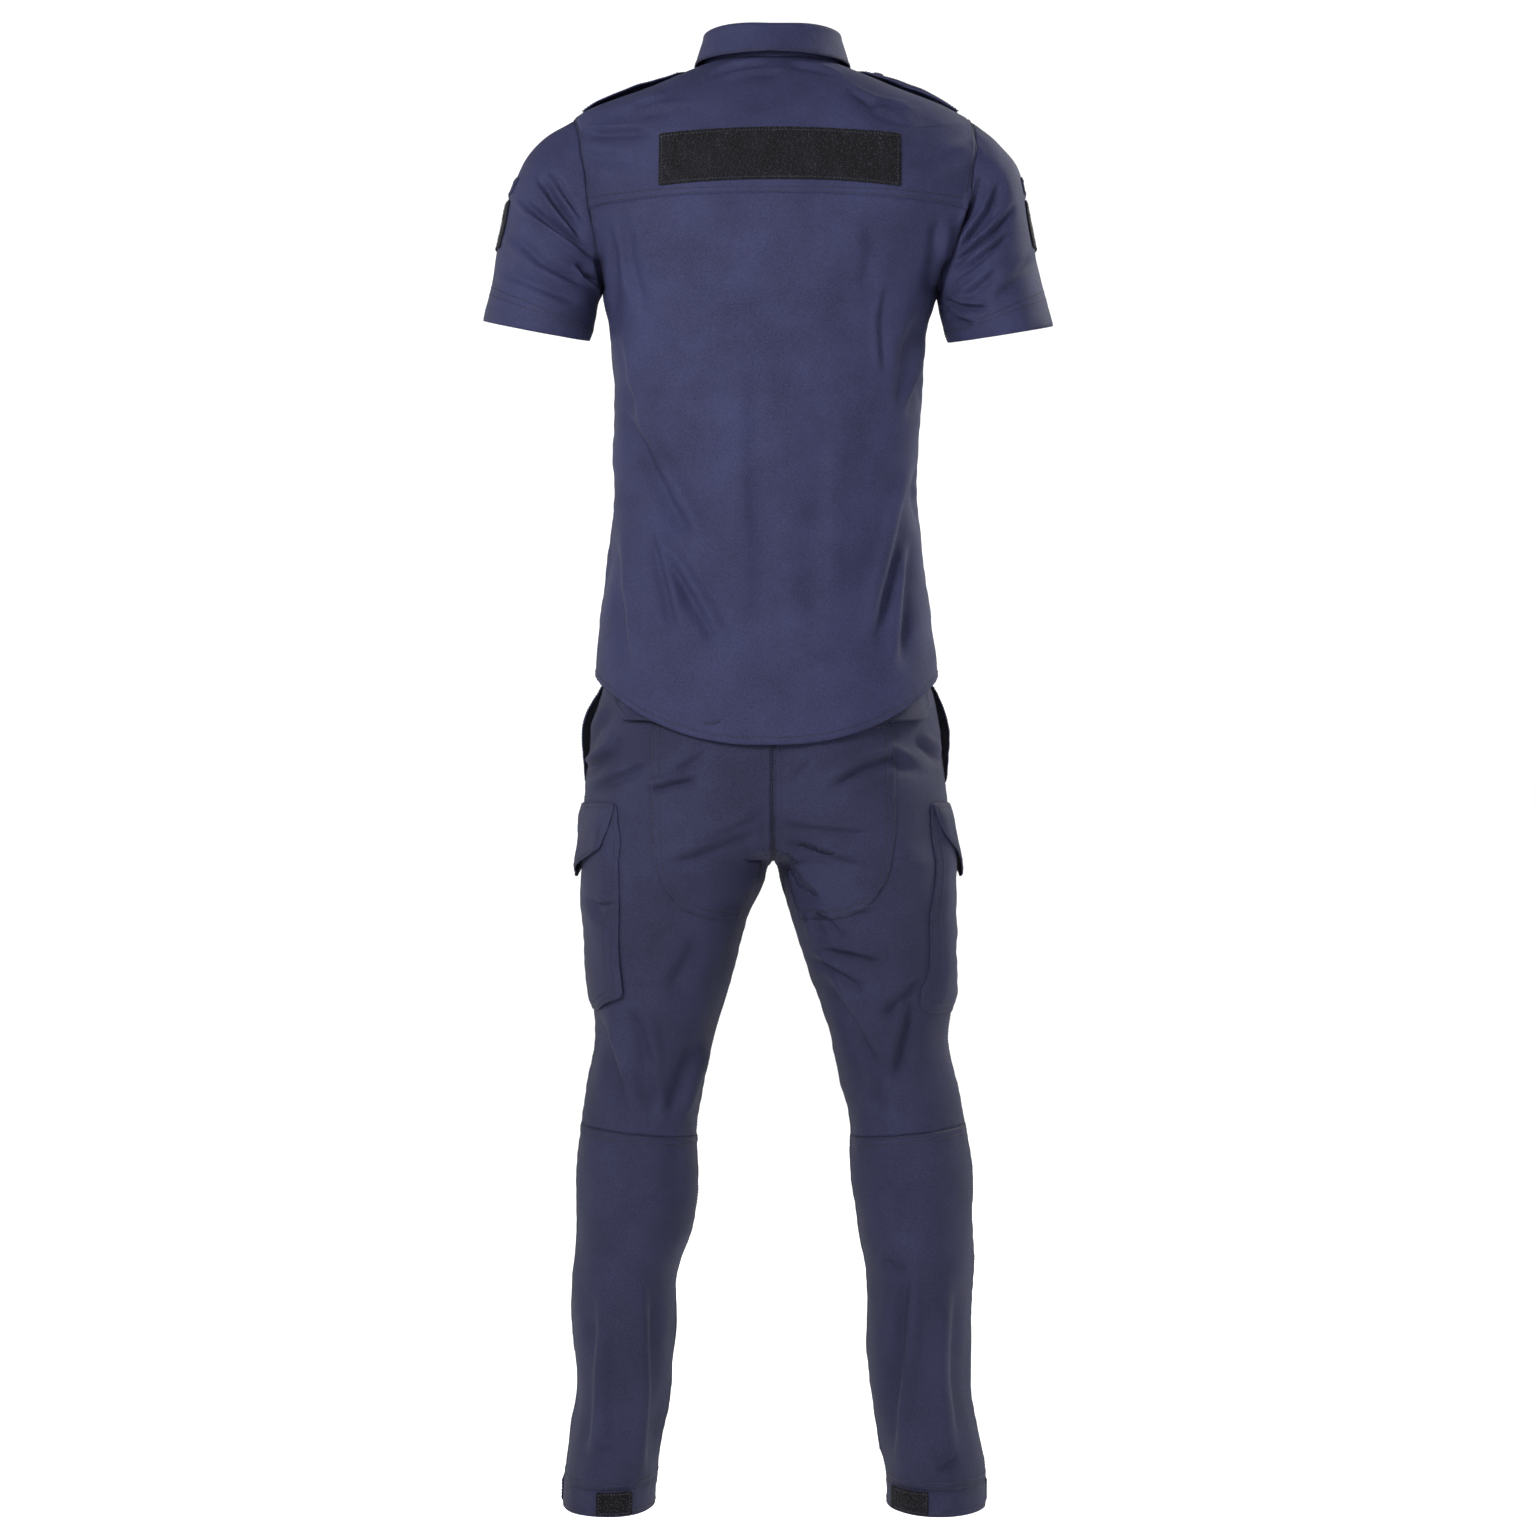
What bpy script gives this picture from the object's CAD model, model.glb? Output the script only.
import math

import bmesh
import bpy
import numpy as np
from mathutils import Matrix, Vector
from mathutils.bvhtree import BVHTree
from mathutils.kdtree import KDTree


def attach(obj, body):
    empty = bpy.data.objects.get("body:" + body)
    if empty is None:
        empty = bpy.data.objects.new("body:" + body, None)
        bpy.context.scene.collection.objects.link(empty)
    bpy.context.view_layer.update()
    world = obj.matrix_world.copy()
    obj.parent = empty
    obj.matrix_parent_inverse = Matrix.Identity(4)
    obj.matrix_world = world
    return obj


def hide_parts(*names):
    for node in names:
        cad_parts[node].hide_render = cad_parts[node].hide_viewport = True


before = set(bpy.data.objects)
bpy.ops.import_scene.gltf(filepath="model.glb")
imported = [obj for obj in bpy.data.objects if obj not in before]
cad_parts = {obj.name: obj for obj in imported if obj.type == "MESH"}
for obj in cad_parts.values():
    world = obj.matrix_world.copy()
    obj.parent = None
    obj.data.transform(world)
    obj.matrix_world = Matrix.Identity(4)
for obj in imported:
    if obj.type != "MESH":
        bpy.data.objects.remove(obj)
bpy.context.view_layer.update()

# Mesh density of the cloth, finer than the solids'
backColumns = 131
neckRows = 22
armholeRows = 80
bodyRows = 130
sleeveRows = 64
seatColumns = 68
thighColumns = 46


# More rows between each two of a list of heights.
def finer(heights, spacing):
    result = []
    for high, low in zip(heights[:-1], heights[1:]):
        count = max(1, round((high - low) / spacing))
        result += list(np.linspace(high, low, count, endpoint=False))
    return result + [heights[-1]]


legLevels = {
    "waist": finer((-0.560, -0.600), 0.005),
    "upper": finer((-0.600, -0.655, -0.700, -0.742, -0.763, -0.780, -0.792, -0.800, -0.836, -0.908, -1.062),
                   0.0031),
    "lower": finer((-1.062, -1.416), 0.0048),
    "band": finer((-1.416, -1.4415), 0.0040),
}

torsoColumns = ("z", "left", "right", "back", "front", "square")
torsoTable = (
    (-0.0050, 0.058, 0.062, 0.053, 0.030, 2.20),
    (-0.0075, 0.066, 0.070, 0.056, 0.034, 2.20),
    (-0.0300, 0.121, 0.126, 0.071, 0.050, 2.20),
    (-0.0610, 0.195, 0.197, 0.088, 0.070, 2.20),
    (-0.0850, 0.203, 0.218, 0.098, 0.084, 2.25),
    (-0.1040, 0.207, 0.226, 0.104, 0.092, 2.30),
    (-0.1470, 0.203, 0.223, 0.112, 0.106, 2.35),
    (-0.1900, 0.185, 0.199, 0.113, 0.117, 2.40),
    (-0.2330, 0.167, 0.166, 0.109, 0.122, 2.45),
    (-0.2800, 0.160, 0.155, 0.102, 0.124, 2.50),
    (-0.3550, 0.155, 0.150, 0.094, 0.118, 2.50),
    (-0.4300, 0.155, 0.147, 0.091, 0.112, 2.45),
    (-0.5000, 0.161, 0.152, 0.098, 0.111, 2.45),
    (-0.5600, 0.168, 0.160, 0.112, 0.114, 2.45),
    (-0.6150, 0.175, 0.168, 0.125, 0.118, 2.50),
    (-0.6900, 0.179, 0.174, 0.138, 0.122, 2.50),
)
neckColumns = ("step", "left", "right", "back", "front")
neckOvals = (
    (0.00, 0.066, 0.070, 0.056, 0.058),
    (0.25, 0.092, 0.095, 0.066, 0.066),
    (0.50, 0.122, 0.126, 0.077, 0.074),
    (0.75, 0.158, 0.161, 0.088, 0.082),
    (1.00, 0.195, 0.197, 0.098, 0.089),
)
armholeTop = -0.061
armholeLow = -0.233
armholeBack = 0.062
armholeFront = 0.062
yokeDip = 8.0
centreColumns = ("angle", "back", "front")
centreRows = (
    (0, -0.085, -0.104),
    (90, -0.150, -0.165),
    (180, -0.238, -0.238),
)
hemSide = -0.617
hemBack = -0.686
hemFront = -0.672
rowCurve = 1.5
sleeveColumns = ("share", "outerX", "outerZ", "innerX", "innerZ", "back", "front")
sleeveLeft = (
    (0.00, 0.195, -0.061, 0.167, -0.233, 0.062, 0.062),
    (0.13, 0.224, -0.078, 0.169, -0.237, 0.066, 0.066),
    (0.28, 0.248, -0.106, 0.171, -0.242, 0.070, 0.072),
    (0.42, 0.2595, -0.137, 0.172, -0.248, 0.073, 0.073),
    (0.60, 0.2675, -0.178, 0.1725, -0.256, 0.074, 0.072),
    (0.80, 0.275, -0.218, 0.1745, -0.268, 0.071, 0.069),
    (1.00, 0.286, -0.261, 0.178, -0.2815, 0.067, 0.066),
)
sleeveRight = (
    (0.00, 0.197, -0.061, 0.166, -0.233, 0.062, 0.062),
    (0.13, 0.226, -0.083, 0.168, -0.238, 0.066, 0.066),
    (0.28, 0.245, -0.108, 0.1695, -0.244, 0.070, 0.072),
    (0.42, 0.253, -0.134, 0.1705, -0.251, 0.073, 0.073),
    (0.60, 0.2605, -0.174, 0.172, -0.260, 0.074, 0.072),
    (0.80, 0.270, -0.219, 0.1745, -0.271, 0.071, 0.069),
    (1.00, 0.283, -0.266, 0.1785, -0.2825, 0.067, 0.066),
)
sleeveDip = 0.0085
centreX = -0.003
legColumns = ("z", "leftOut", "leftIn", "rightOut", "rightIn", "back", "front")
legs = (
    (-0.560, 0.150, -0.150, 0.142, -0.142, 0.100, 0.098),
    (-0.600, 0.158, -0.158, 0.149, -0.149, 0.109, 0.104),
    (-0.635, 0.171, -0.166, 0.158, -0.156, 0.120, 0.108),
    (-0.670, 0.182, -0.159, 0.166, -0.151, 0.128, 0.110),
    (-0.700, 0.184, -0.139, 0.169, -0.131, 0.130, 0.111),
    (-0.730, 0.187, -0.108, 0.174, -0.101, 0.127, 0.110),
    (-0.760, 0.187, -0.070, 0.1755, -0.066, 0.120, 0.107),
    (-0.780, 0.187, -0.040, 0.177, -0.038, 0.114, 0.105),
    (-0.790, 0.1868, -0.022, 0.1775, -0.021, 0.112, 0.1035),
    (-0.797, 0.1866, -0.007, 0.1778, -0.007, 0.110, 0.102),
    (-0.800, 0.1865, 0.000, 0.178, 0.000, 0.109, 0.102),
    (-0.820, 0.1865, 0.009, 0.177, 0.007, 0.104, 0.100),
    (-0.850, 0.186, 0.023, 0.176, 0.017, 0.098, 0.097),
    (-0.880, 0.1845, 0.033, 0.179, 0.027, 0.094, 0.094),
    (-0.910, 0.183, 0.0405, 0.179, 0.038, 0.090, 0.092),
    (-0.945, 0.181, 0.050, 0.1795, 0.049, 0.084, 0.089),
    (-0.982, 0.179, 0.060, 0.176, 0.060, 0.079, 0.086),
    (-1.029, 0.185, 0.071, 0.1835, 0.070, 0.071, 0.082),
    (-1.070, 0.191, 0.077, 0.192, 0.077, 0.068, 0.079),
    (-1.110, 0.196, 0.0755, 0.1975, 0.0775, 0.069, 0.074),
    (-1.164, 0.197, 0.0805, 0.200, 0.083, 0.074, 0.067),
    (-1.214, 0.1995, 0.095, 0.2006, 0.093, 0.077, 0.061),
    (-1.260, 0.200, 0.097, 0.1997, 0.094, 0.077, 0.058),
    (-1.317, 0.196, 0.104, 0.197, 0.099, 0.074, 0.059),
    (-1.380, 0.205, 0.113, 0.206, 0.108, 0.073, 0.062),
    (-1.415, 0.210, 0.116, 0.2105, 0.1126, 0.075, 0.064),
    (-1.440, 0.211, 0.117, 0.211, 0.1126, 0.076, 0.065),
)
legSquare = 2.15
crotchZ = -0.800
rowColumns = ("side", "centre")
rowEnds = (
    (-0.560, -0.560),
    (-0.600, -0.600),
    (-0.630, -0.640),
    (-0.655, -0.672),
    (-0.678, -0.703),
    (-0.700, -0.730),
    (-0.720, -0.752),
    (-0.742, -0.770),
    (-0.763, -0.785),
    (-0.780, -0.794),
    (-0.792, -0.7985),
    (-0.800, -0.800),
)
rowDip = 2.0
kneeZ = -1.062
kneeDrop = 0.012
kneeReach = 0.10
loopPanel = ((0.108, -0.0848), (0.108, -0.1370), (-0.127, -0.1370), (-0.127, -0.0848))
placketHalf = 0.0175
placket = ((-placketHalf, -0.076), (placketHalf, -0.076), (placketHalf, -0.70), (-placketHalf, -0.70))
fly = ((-0.0026, -0.602), (0.036, -0.602), (0.036, -0.725), (0.022, -0.757), (-0.0026, -0.768))
seatPatch = (
    (0.0030, -0.660), (0.1190, -0.660), (0.1190, -0.775), (0.1130, -0.815), (0.0930, -0.844),
    (0.0660, -0.856), (0.0030, -0.856),
)
seatPatchTurn = 0.36
backFlap = ((0.040, -0.630), (0.040, -0.655), (0.054, -0.668), (0.144, -0.662), (0.157, -0.646),
             (0.154, -0.630))
hipMouth = ((-0.001, -0.622), (-0.046, -0.622), (-0.030, -0.722), (-0.003, -0.722))
cargoPocket = {
    "left": ((0.0885, -0.742), (-0.072, -0.742), (-0.072, -0.950), (0.0450, -0.947), (0.0785, -0.932),
             (0.0819, -0.896), (0.0885, -0.798)),
    "right": ((0.0715, -0.742), (-0.072, -0.742), (-0.072, -0.950), (0.0690, -0.950), (0.0740, -0.935)),
}
cargoFlap = {
    "left": ((0.0885, -0.743), (-0.0715, -0.743), (-0.0705, -0.785), (0.000, -0.817), (0.0790, -0.788)),
    "right": ((0.0710, -0.743), (-0.0715, -0.743), (-0.0705, -0.785), (0.000, -0.817), (0.0600, -0.776)),
}
sleeveTab = ((0.030, -0.122), (-0.030, -0.122), (-0.030, -0.138), (0.030, -0.138))
sleeveLoop = ((0.032, -0.145), (-0.032, -0.145), (-0.032, -0.192), (0.032, -0.192))
ankleTab = ((0.004, -1.4175), (-0.046, -1.4175), (-0.046, -1.4385), (0.004, -1.4385))
ankleHookLeft = (0.136, 0.170)
ankleHookRight = (-0.155, -0.121)
hookTop = -1.4175
hookLow = -1.4400
cargoPuff = 0.0045
cargoEdge = 0.018
mouthGape = 0.0085
mouthWidth = 0.045
epauletteOuter = 0.186
epauletteInner = 0.094
epauletteHalf = 0.023
epauletteTaper = 0.003
epauletteMiddleY = -0.004
epauletteTip = 0.010
epauletteTipStart = 0.85
epauletteStand = 0.0006
epauletteBow = {"left": 0.0035, "right": 0.0085}
standHeight = 0.030
standLean = 0.0025
standRound = (0.068, 0.054)
fallEnds = (-88, 268)
fallEase = 0.0005
fallTop = ((-0.0046, 0.0018), (-0.0022, 0.0040), (0.0022, 0.0024))
collarColumns = ("turn", "aim", "low", "out")
collarEdge = (
    (-88, -64, -0.118, 0.030),
    (-66, -50, -0.086, 0.024),
    (-44, -36, -0.052, 0.016),
    (-22, -19, -0.024, 0.011),
    (0, 0, -0.0075, 0.0095),
    (90, 90, -0.0040, 0.0165),
)
collarClear = 0.0052
shoulderRound = (0.16, 0.09)
clearStep = 0.0005
clearSteps = 120
shirtButtons = (-0.112, -0.190, -0.268, -0.346, -0.424, -0.502, -0.580)
waistButtonZ = -0.580


# Monotone cubic through a table's rows, as a function of its first column.
def smoothCurve(rows, names, wanted):
    table = np.array(rows, float)
    table = table[np.argsort(table[:, 0])]
    x, y = table[:, 0], table[:, names.index(wanted)]
    step = np.diff(x)
    rise = np.diff(y) / step
    slope = np.empty_like(y)
    slope[0], slope[-1] = rise[0], rise[-1]
    for k in range(1, len(x) - 1):
        before, after = rise[k - 1], rise[k]
        together = before * after > 0
        slope[k] = 2 * before * after / (before + after) if together else 0.0

    def value(at):
        at = np.clip(at, x[0], x[-1])
        k = np.clip(np.searchsorted(x, at) - 1, 0, len(x) - 2)
        t = (at - x[k]) / step[k]
        return (
            (1 + 2 * t) * (1 - t) ** 2 * y[k]
            + t * (1 - t) ** 2 * step[k] * slope[k]
            + t * t * (3 - 2 * t) * y[k + 1]
            + t * t * (t - 1) * step[k] * slope[k + 1]
        )

    return value


def curvesOf(rows, names):
    return {name: smoothCurve(rows, names, name) for name in names[1:]}

torso = curvesOf(torsoTable, torsoColumns)
neck = curvesOf(neckOvals, neckColumns)
centre = curvesOf(centreRows, centreColumns)
leg = curvesOf(legs, legColumns)
rowEnd = curvesOf(rowEnds, rowColumns)["centre"]
sleeve = {"left": curvesOf(sleeveLeft, sleeveColumns), "right": curvesOf(sleeveRight, sleeveColumns)}
collar = curvesOf(collarEdge, collarColumns)


# Below one inside the shirt body's level section at height z.
def torsoInside(x, y, z):
    width = torso["left"](z) if x >= 0 else torso["right"](z)
    depth = torso["back"](z) if y >= 0 else torso["front"](z)
    power = torso["square"](z)
    return (abs(x) / width) ** power + (abs(y) / depth) ** power


# Height of the shirt body's surface over a point seen from above.
def shoulderHeight(x, y):
    high, low = torsoTable[0][0], armholeLow
    for _ in range(40):
        middle = (high + low) / 2
        if torsoInside(x, y, middle) > 1:
            high = middle
        else:
            low = middle
    return (high + low) / 2


# A point between the neckline (step 0) and the shoulder tips (step 1).
def neckPoint(face, step, across):
    turn = math.radians(90 * across)
    width = neck["left"](step) if across >= 0 else neck["right"](step)
    x = width * math.sin(turn)
    y = neck[face](step) * max(math.cos(turn), 0.0) * (1 if face == "back" else -1)
    if abs(across) == 1:
        y = 0.0
    return np.array((x, y, shoulderHeight(x, y)))


# A point of a row whose ends are at edgeZ, armDepth off the shoulder line. Rows near the hem turn up towards
# the side seams as a shirt tail does.
def bodyPoint(face, edgeZ, centreZ, across, armDepth, hemShare=0.0):
    depth = torso[face](edgeZ)
    start = math.asin(min((armDepth / depth) ** (torso["square"](edgeZ) / 2), 1.0))
    plain, tail = abs(across) ** rowCurve, across**2 * (3 - 2 * abs(across))
    z = centreZ + (edgeZ - centreZ) * (plain + hemShare * (tail - plain))
    turn = across * (math.pi / 2 - start)
    power = 2 / torso["square"](z)
    width = torso["left"](z) if across >= 0 else torso["right"](z)
    x = width * math.copysign(abs(math.sin(turn)) ** power, across)
    y = torso[face](z) * max(math.cos(turn), 0.0) ** power
    if abs(across) == 1:
        x = width * abs(math.sin(turn)) ** power * across
        y = armDepth if armDepth > 0 else 0.0
    return np.array((x, y if face == "back" else -y, z))


# Functions of across, one for each row from the neckline to the hem.
def shirtRows(face):
    rows = []
    for k in range(neckRows + 1):
        rows.append(lambda across, k=k: neckPoint(face, k / neckRows, across))
    middle, half = (armholeTop + armholeLow) / 2, (armholeTop - armholeLow) / 2
    reach = armholeBack if face == "back" else armholeFront
    for k in range(1, armholeRows + 1):
        angle = 180 * k / armholeRows
        edge = math.radians(angle + yokeDip * math.sin(math.radians(angle)))
        edgeZ = middle + half * math.cos(edge)
        depth = reach * math.sin(edge) if k < armholeRows else 0.0
        midZ = float(centre[face](angle))
        rows.append(lambda a, e=edgeZ, m=midZ, d=depth: bodyPoint(face, e, m, a, d))
    hem = hemBack if face == "back" else hemFront
    start = float(centre[face](180))
    for k in range(1, bodyRows + 1):
        share = k / bodyRows
        edgeZ = armholeLow + (hemSide - armholeLow) * share
        midZ = start + (hem - start) * share
        rows.append(lambda a, e=edgeZ, m=midZ, s=share: bodyPoint(face, e, m, a, 0.0, s**2))
    return rows


# A point of the sleeve's oval ring. The angle is 0 at the outer edge and positive to the back.
def sleevePoint(side, share, angle):
    edge = sleeve[side]
    outer = np.array((edge["outerX"](share), edge["outerZ"](share)))
    inner = np.array((edge["innerX"](share), edge["innerZ"](share)))
    middle, half = (outer + inner) / 2, (outer - inner) / 2
    depth = edge["back"](share) if angle >= 0 else edge["front"](share)
    flat = middle + half * math.cos(math.radians(angle))
    sign = 1 if side == "left" else -1
    away = math.sin(math.radians(angle))
    return np.array((sign * flat[0], depth * away, flat[1] - sleeveDip * share**2 * away))


# Rings from the armhole's own points to the sleeve hem.
def sleeveGrid(side, armhole):
    count = len(armhole)
    angles = [360 * k / count if 2 * k <= count else 360 * k / count - 360 for k in range(count)]
    rows = []
    for k in range(sleeveRows + 1):
        share = k / sleeveRows
        stay = (1 - share) ** 2
        row = []
        for angle, held in zip(angles, armhole):
            free = sleevePoint(side, share, angle)
            row.append(free + stay * (held - sleevePoint(side, 0.0, angle)))
        rows.append(row)
    rows[0] = list(armhole)
    return np.array(rows)


# A point of a leg. The angle is 0 at the side seam, positive to the back, and 180 at the inseam.
def legPoint(side, z, angle):
    nearness = math.exp(-(((z - kneeZ) / kneeReach) ** 2))
    z = z - kneeDrop * nearness * (1 - math.cos(math.radians(angle))) / 2
    outer, inner = leg[side + "Out"](z), leg[side + "In"](z)
    middle, half = (outer + inner) / 2, (outer - inner) / 2
    turn = math.radians(angle)
    power = 2 / legSquare
    away = middle + half * math.copysign(abs(math.cos(turn)) ** power, math.cos(turn))
    depth = leg["back"](z) if angle >= 0 else -leg["front"](z)
    y = depth * abs(math.sin(turn)) ** power
    if abs(angle) in (0, 180):
        y = 0.0
    if z > crotchZ - 1e-4 and abs(away) < 1e-4:
        away = 0.0
    return np.array((centreX + (away if side == "left" else -away), y, z))


# Where a leg's section meets the centre seam, in degrees from the side seam.
def endAngle(side, z):
    outer, inner = leg[side + "Out"](z), leg[side + "In"](z)
    if z <= crotchZ + 1e-9:
        return 180.0
    middle, half = (outer + inner) / 2, (outer - inner) / 2
    return math.degrees(math.acos(-((max(0.0, middle) / half) ** (legSquare / 2))))


def legGrid(side, face, heights, columns):
    sign = 1 if face == "back" else -1
    shares = np.linspace(0, 1, columns + 1)
    grid = []
    for z in heights:
        drop = float(rowEnd(z)) - z if z > crotchZ else 0.0
        end = endAngle(side, z + drop)
        grid.append([legPoint(side, z + drop * t**rowDip, sign * end * t) for t in shares])
    return np.array(grid)


def mirrored(outline):
    return tuple((-a, b) for a, b in outline)


def shifted(outline, by):
    return tuple((a + by, b) for a, b in outline)


# The neckline's point and outward direction at a turn, 0 at the left, 90 at the back.
def necklineAt(turn):
    face = "back" if 0 <= turn <= 180 else "front"
    across = (90 - turn) / 90 if face == "back" else ((90 + turn) / 90 if turn < 0 else (turn - 270) / 90)
    if face == "front":
        across = max(-1.0, min(1.0, across))
    point = neckPoint(face, 0.0, across)
    width = neck["left"](0.0) if across >= 0 else neck["right"](0.0)
    out = np.array((point[0] / width**2, point[1] / neck[face](0.0) ** 2, 0.0))
    return point, out / np.linalg.norm(out)


# The point, moved straight out from the neck until it stands clear of the shirt body.
def clearOfShirt(point):
    point = np.array(point, float)
    out = np.array((point[0] / shoulderRound[0] ** 2, point[1] / shoulderRound[1] ** 2, 0.0))
    out = out / np.linalg.norm(out)
    for _ in range(clearSteps):
        inner = point - out * collarClear
        if torsoInside(inner[0], inner[1], inner[2]) >= 1:
            break
        point = point + out * clearStep
    return point


crotchRow = int(np.argmin(np.abs(np.array(legLevels["upper"]) - crotchZ)))
yokeRow = neckRows + armholeRows // 2
underarmRow = neckRows + armholeRows

# Creases: a path in the photograph's pixels, half-width and depth in millimetres, and the height of the lip
# beside the trough as a share of its depth. A positive lip lies to the right-hand side of the way the path
# runs on the page. The front's paths are in millimetres across and down.


# Rows for one side of the wearer, each followed by its mirror image.
def bothSides(rows):
    result = []
    for path, width, depth, lip in rows:
        result += [(path, width, depth, lip), (mirrored(path), width, depth, -lip)]
    return tuple(result)


shirtCreases = (
    # drag lines under the shoulders
    (((590, 117), (640, 113), (698, 107)), 4.5, 3.6, -0.7),
    (((581, 134), (615, 133), (655, 130)), 6, 3.4, -0.6),
    (((622, 109), (645, 103), (668, 96)), 4, 2.6, -0.6),
    (((640, 126), (665, 120), (690, 118)), 4, 1.8, -0.5),
    (((862, 110), (891, 117), (947, 124)), 5, 3.8, -0.7),
    (((855, 96), (880, 104), (915, 112)), 4, 2.6, -0.6),
    (((845, 88), (865, 98), (880, 112)), 4, 2.2, -0.6),
    (((575, 150), (600, 158), (640, 160)), 9, 2.0, -0.5),
    (((968, 150), (940, 158), (905, 160)), 9, 2.0, 0.5),
    # left sleeve
    (((536, 174), (556, 205), (585, 244)), 5, 5.6, 0.8),
    (((515, 193), (535, 213), (557, 230), (598, 260)), 5, 5.6, 0.8),
    (((548, 168), (566, 196), (584, 222)), 4, 3.6, 0.7),
    (((505, 228), (540, 262), (590, 288)), 7, 3.4, 0.6),
    (((500, 268), (535, 286), (585, 305)), 8, 2.8, 0.6),
    (((575, 262), (584, 276), (598, 285)), 4, 4.4, 0.7),
    (((596, 250), (600, 275), (606, 300)), 7, 3.4, 0.5),
    # right sleeve
    (((1002, 178), (985, 215), (955, 259)), 4.5, 4.8, 0.8),
    (((1018, 203), (990, 235), (951, 266)), 4.5, 4.8, 0.8),
    (((985, 172), (972, 200), (960, 232)), 4, 3.4, 0.7),
    (((1012, 232), (985, 254), (957, 278)), 4.5, 4.6, 0.7),
    (((1000, 268), (978, 288), (960, 300)), 6, 3.4, 0.6),
    (((944, 298), (962, 306), (992, 308)), 4, 4.6, -0.7),
    (((942, 306), (955, 318), (975, 324)), 4, 3.4, -0.6),
    (((1040, 250), (1015, 280), (990, 305)), 9, 2.8, 0.5),
    (((950, 255), (943, 275), (938, 300)), 8, 3.6, -0.5),
    # body: long drag lines from the underarms and the side seams
    (((612, 395), (640, 445), (668, 500), (700, 555)), 13, 6.4, -0.6),
    (((616, 330), (622, 380), (640, 430)), 9, 3.4, -0.5),
    (((646, 520), (662, 580), (676, 640)), 9, 5.0, -0.6),
    (((656, 540), (690, 595), (724, 655)), 8, 4.8, -0.6),
    (((610, 520), (618, 600), (628, 680)), 11, 5.0, -0.6),
    (((928, 440), (906, 520), (872, 660)), 12, 6.2, 0.6),
    (((916, 530), (908, 610), (900, 675)), 9, 5.0, 0.6),
    (((934, 330), (926, 375), (905, 425)), 9, 4.0, 0.6),
    (((888, 280), (881, 320), (884, 380)), 6, 2.2, 0.6),
    (((925, 300), (905, 350), (900, 420)), 11, 2.8, 0.5),
    (((752, 300), (755, 470), (762, 660)), 16, 1.8, 0.5),
    (((826, 360), (818, 520), (808, 670)), 18, 1.8, -0.5),
    (((622, 208), (630, 260), (644, 320)), 8, 3.2, 0.6),
    (((612, 225), (616, 270), (614, 330)), 7, 2.8, 0.5),
    (((940, 212), (936, 255), (926, 300)), 8, 3.6, -0.6),
    (((866, 215), (872, 250), (862, 300)), 12, 1.5, 0.5),
    # under the collar
    (((706, 76), (735, 66), (772, 62)), 3.5, 2.4, -0.6),
    (((845, 78), (815, 68), (785, 64)), 3.5, 2.4, 0.6),
    (((716, 84), (750, 74), (790, 72)), 4, 1.4, -0.5),
)
frontCreases = (
    (((150, 230), (120, 270), (100, 330)), 16, 5.0, 0.5),
    (((-150, 230), (-120, 270), (-100, 330)), 16, 4.6, -0.5),
    (((140, 400), (95, 450), (60, 520)), 16, 5.6, 0.5),
    (((-140, 410), (-100, 470), (-70, 540)), 16, 5.0, -0.5),
    (((60, 560), (52, 600), (45, 650)), 12, 4.0, 0.5),
    (((-55, 540), (-48, 600), (-50, 650)), 12, 4.0, -0.5),
    (((110, 560), (105, 610), (110, 650)), 10, 4.0, 0.5),
    (((-110, 560), (-102, 610), (-105, 650)), 10, 4.0, -0.5),
) + bothSides((
    (((150, 130), (120, 150), (80, 155)), 9, 2.8, -0.5),
    (((230, 150), (215, 190), (190, 235)), 7, 4.6, 0.6),
    (((250, 200), (230, 240), (205, 262)), 7, 3.6, 0.6),
))
collarCreases = (
    (((712, 60), (740, 57), (775, 55)), 4, 0.9, 0.5),
    (((835, 58), (810, 55), (785, 54)), 4, 0.8, 0.5),
)
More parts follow.
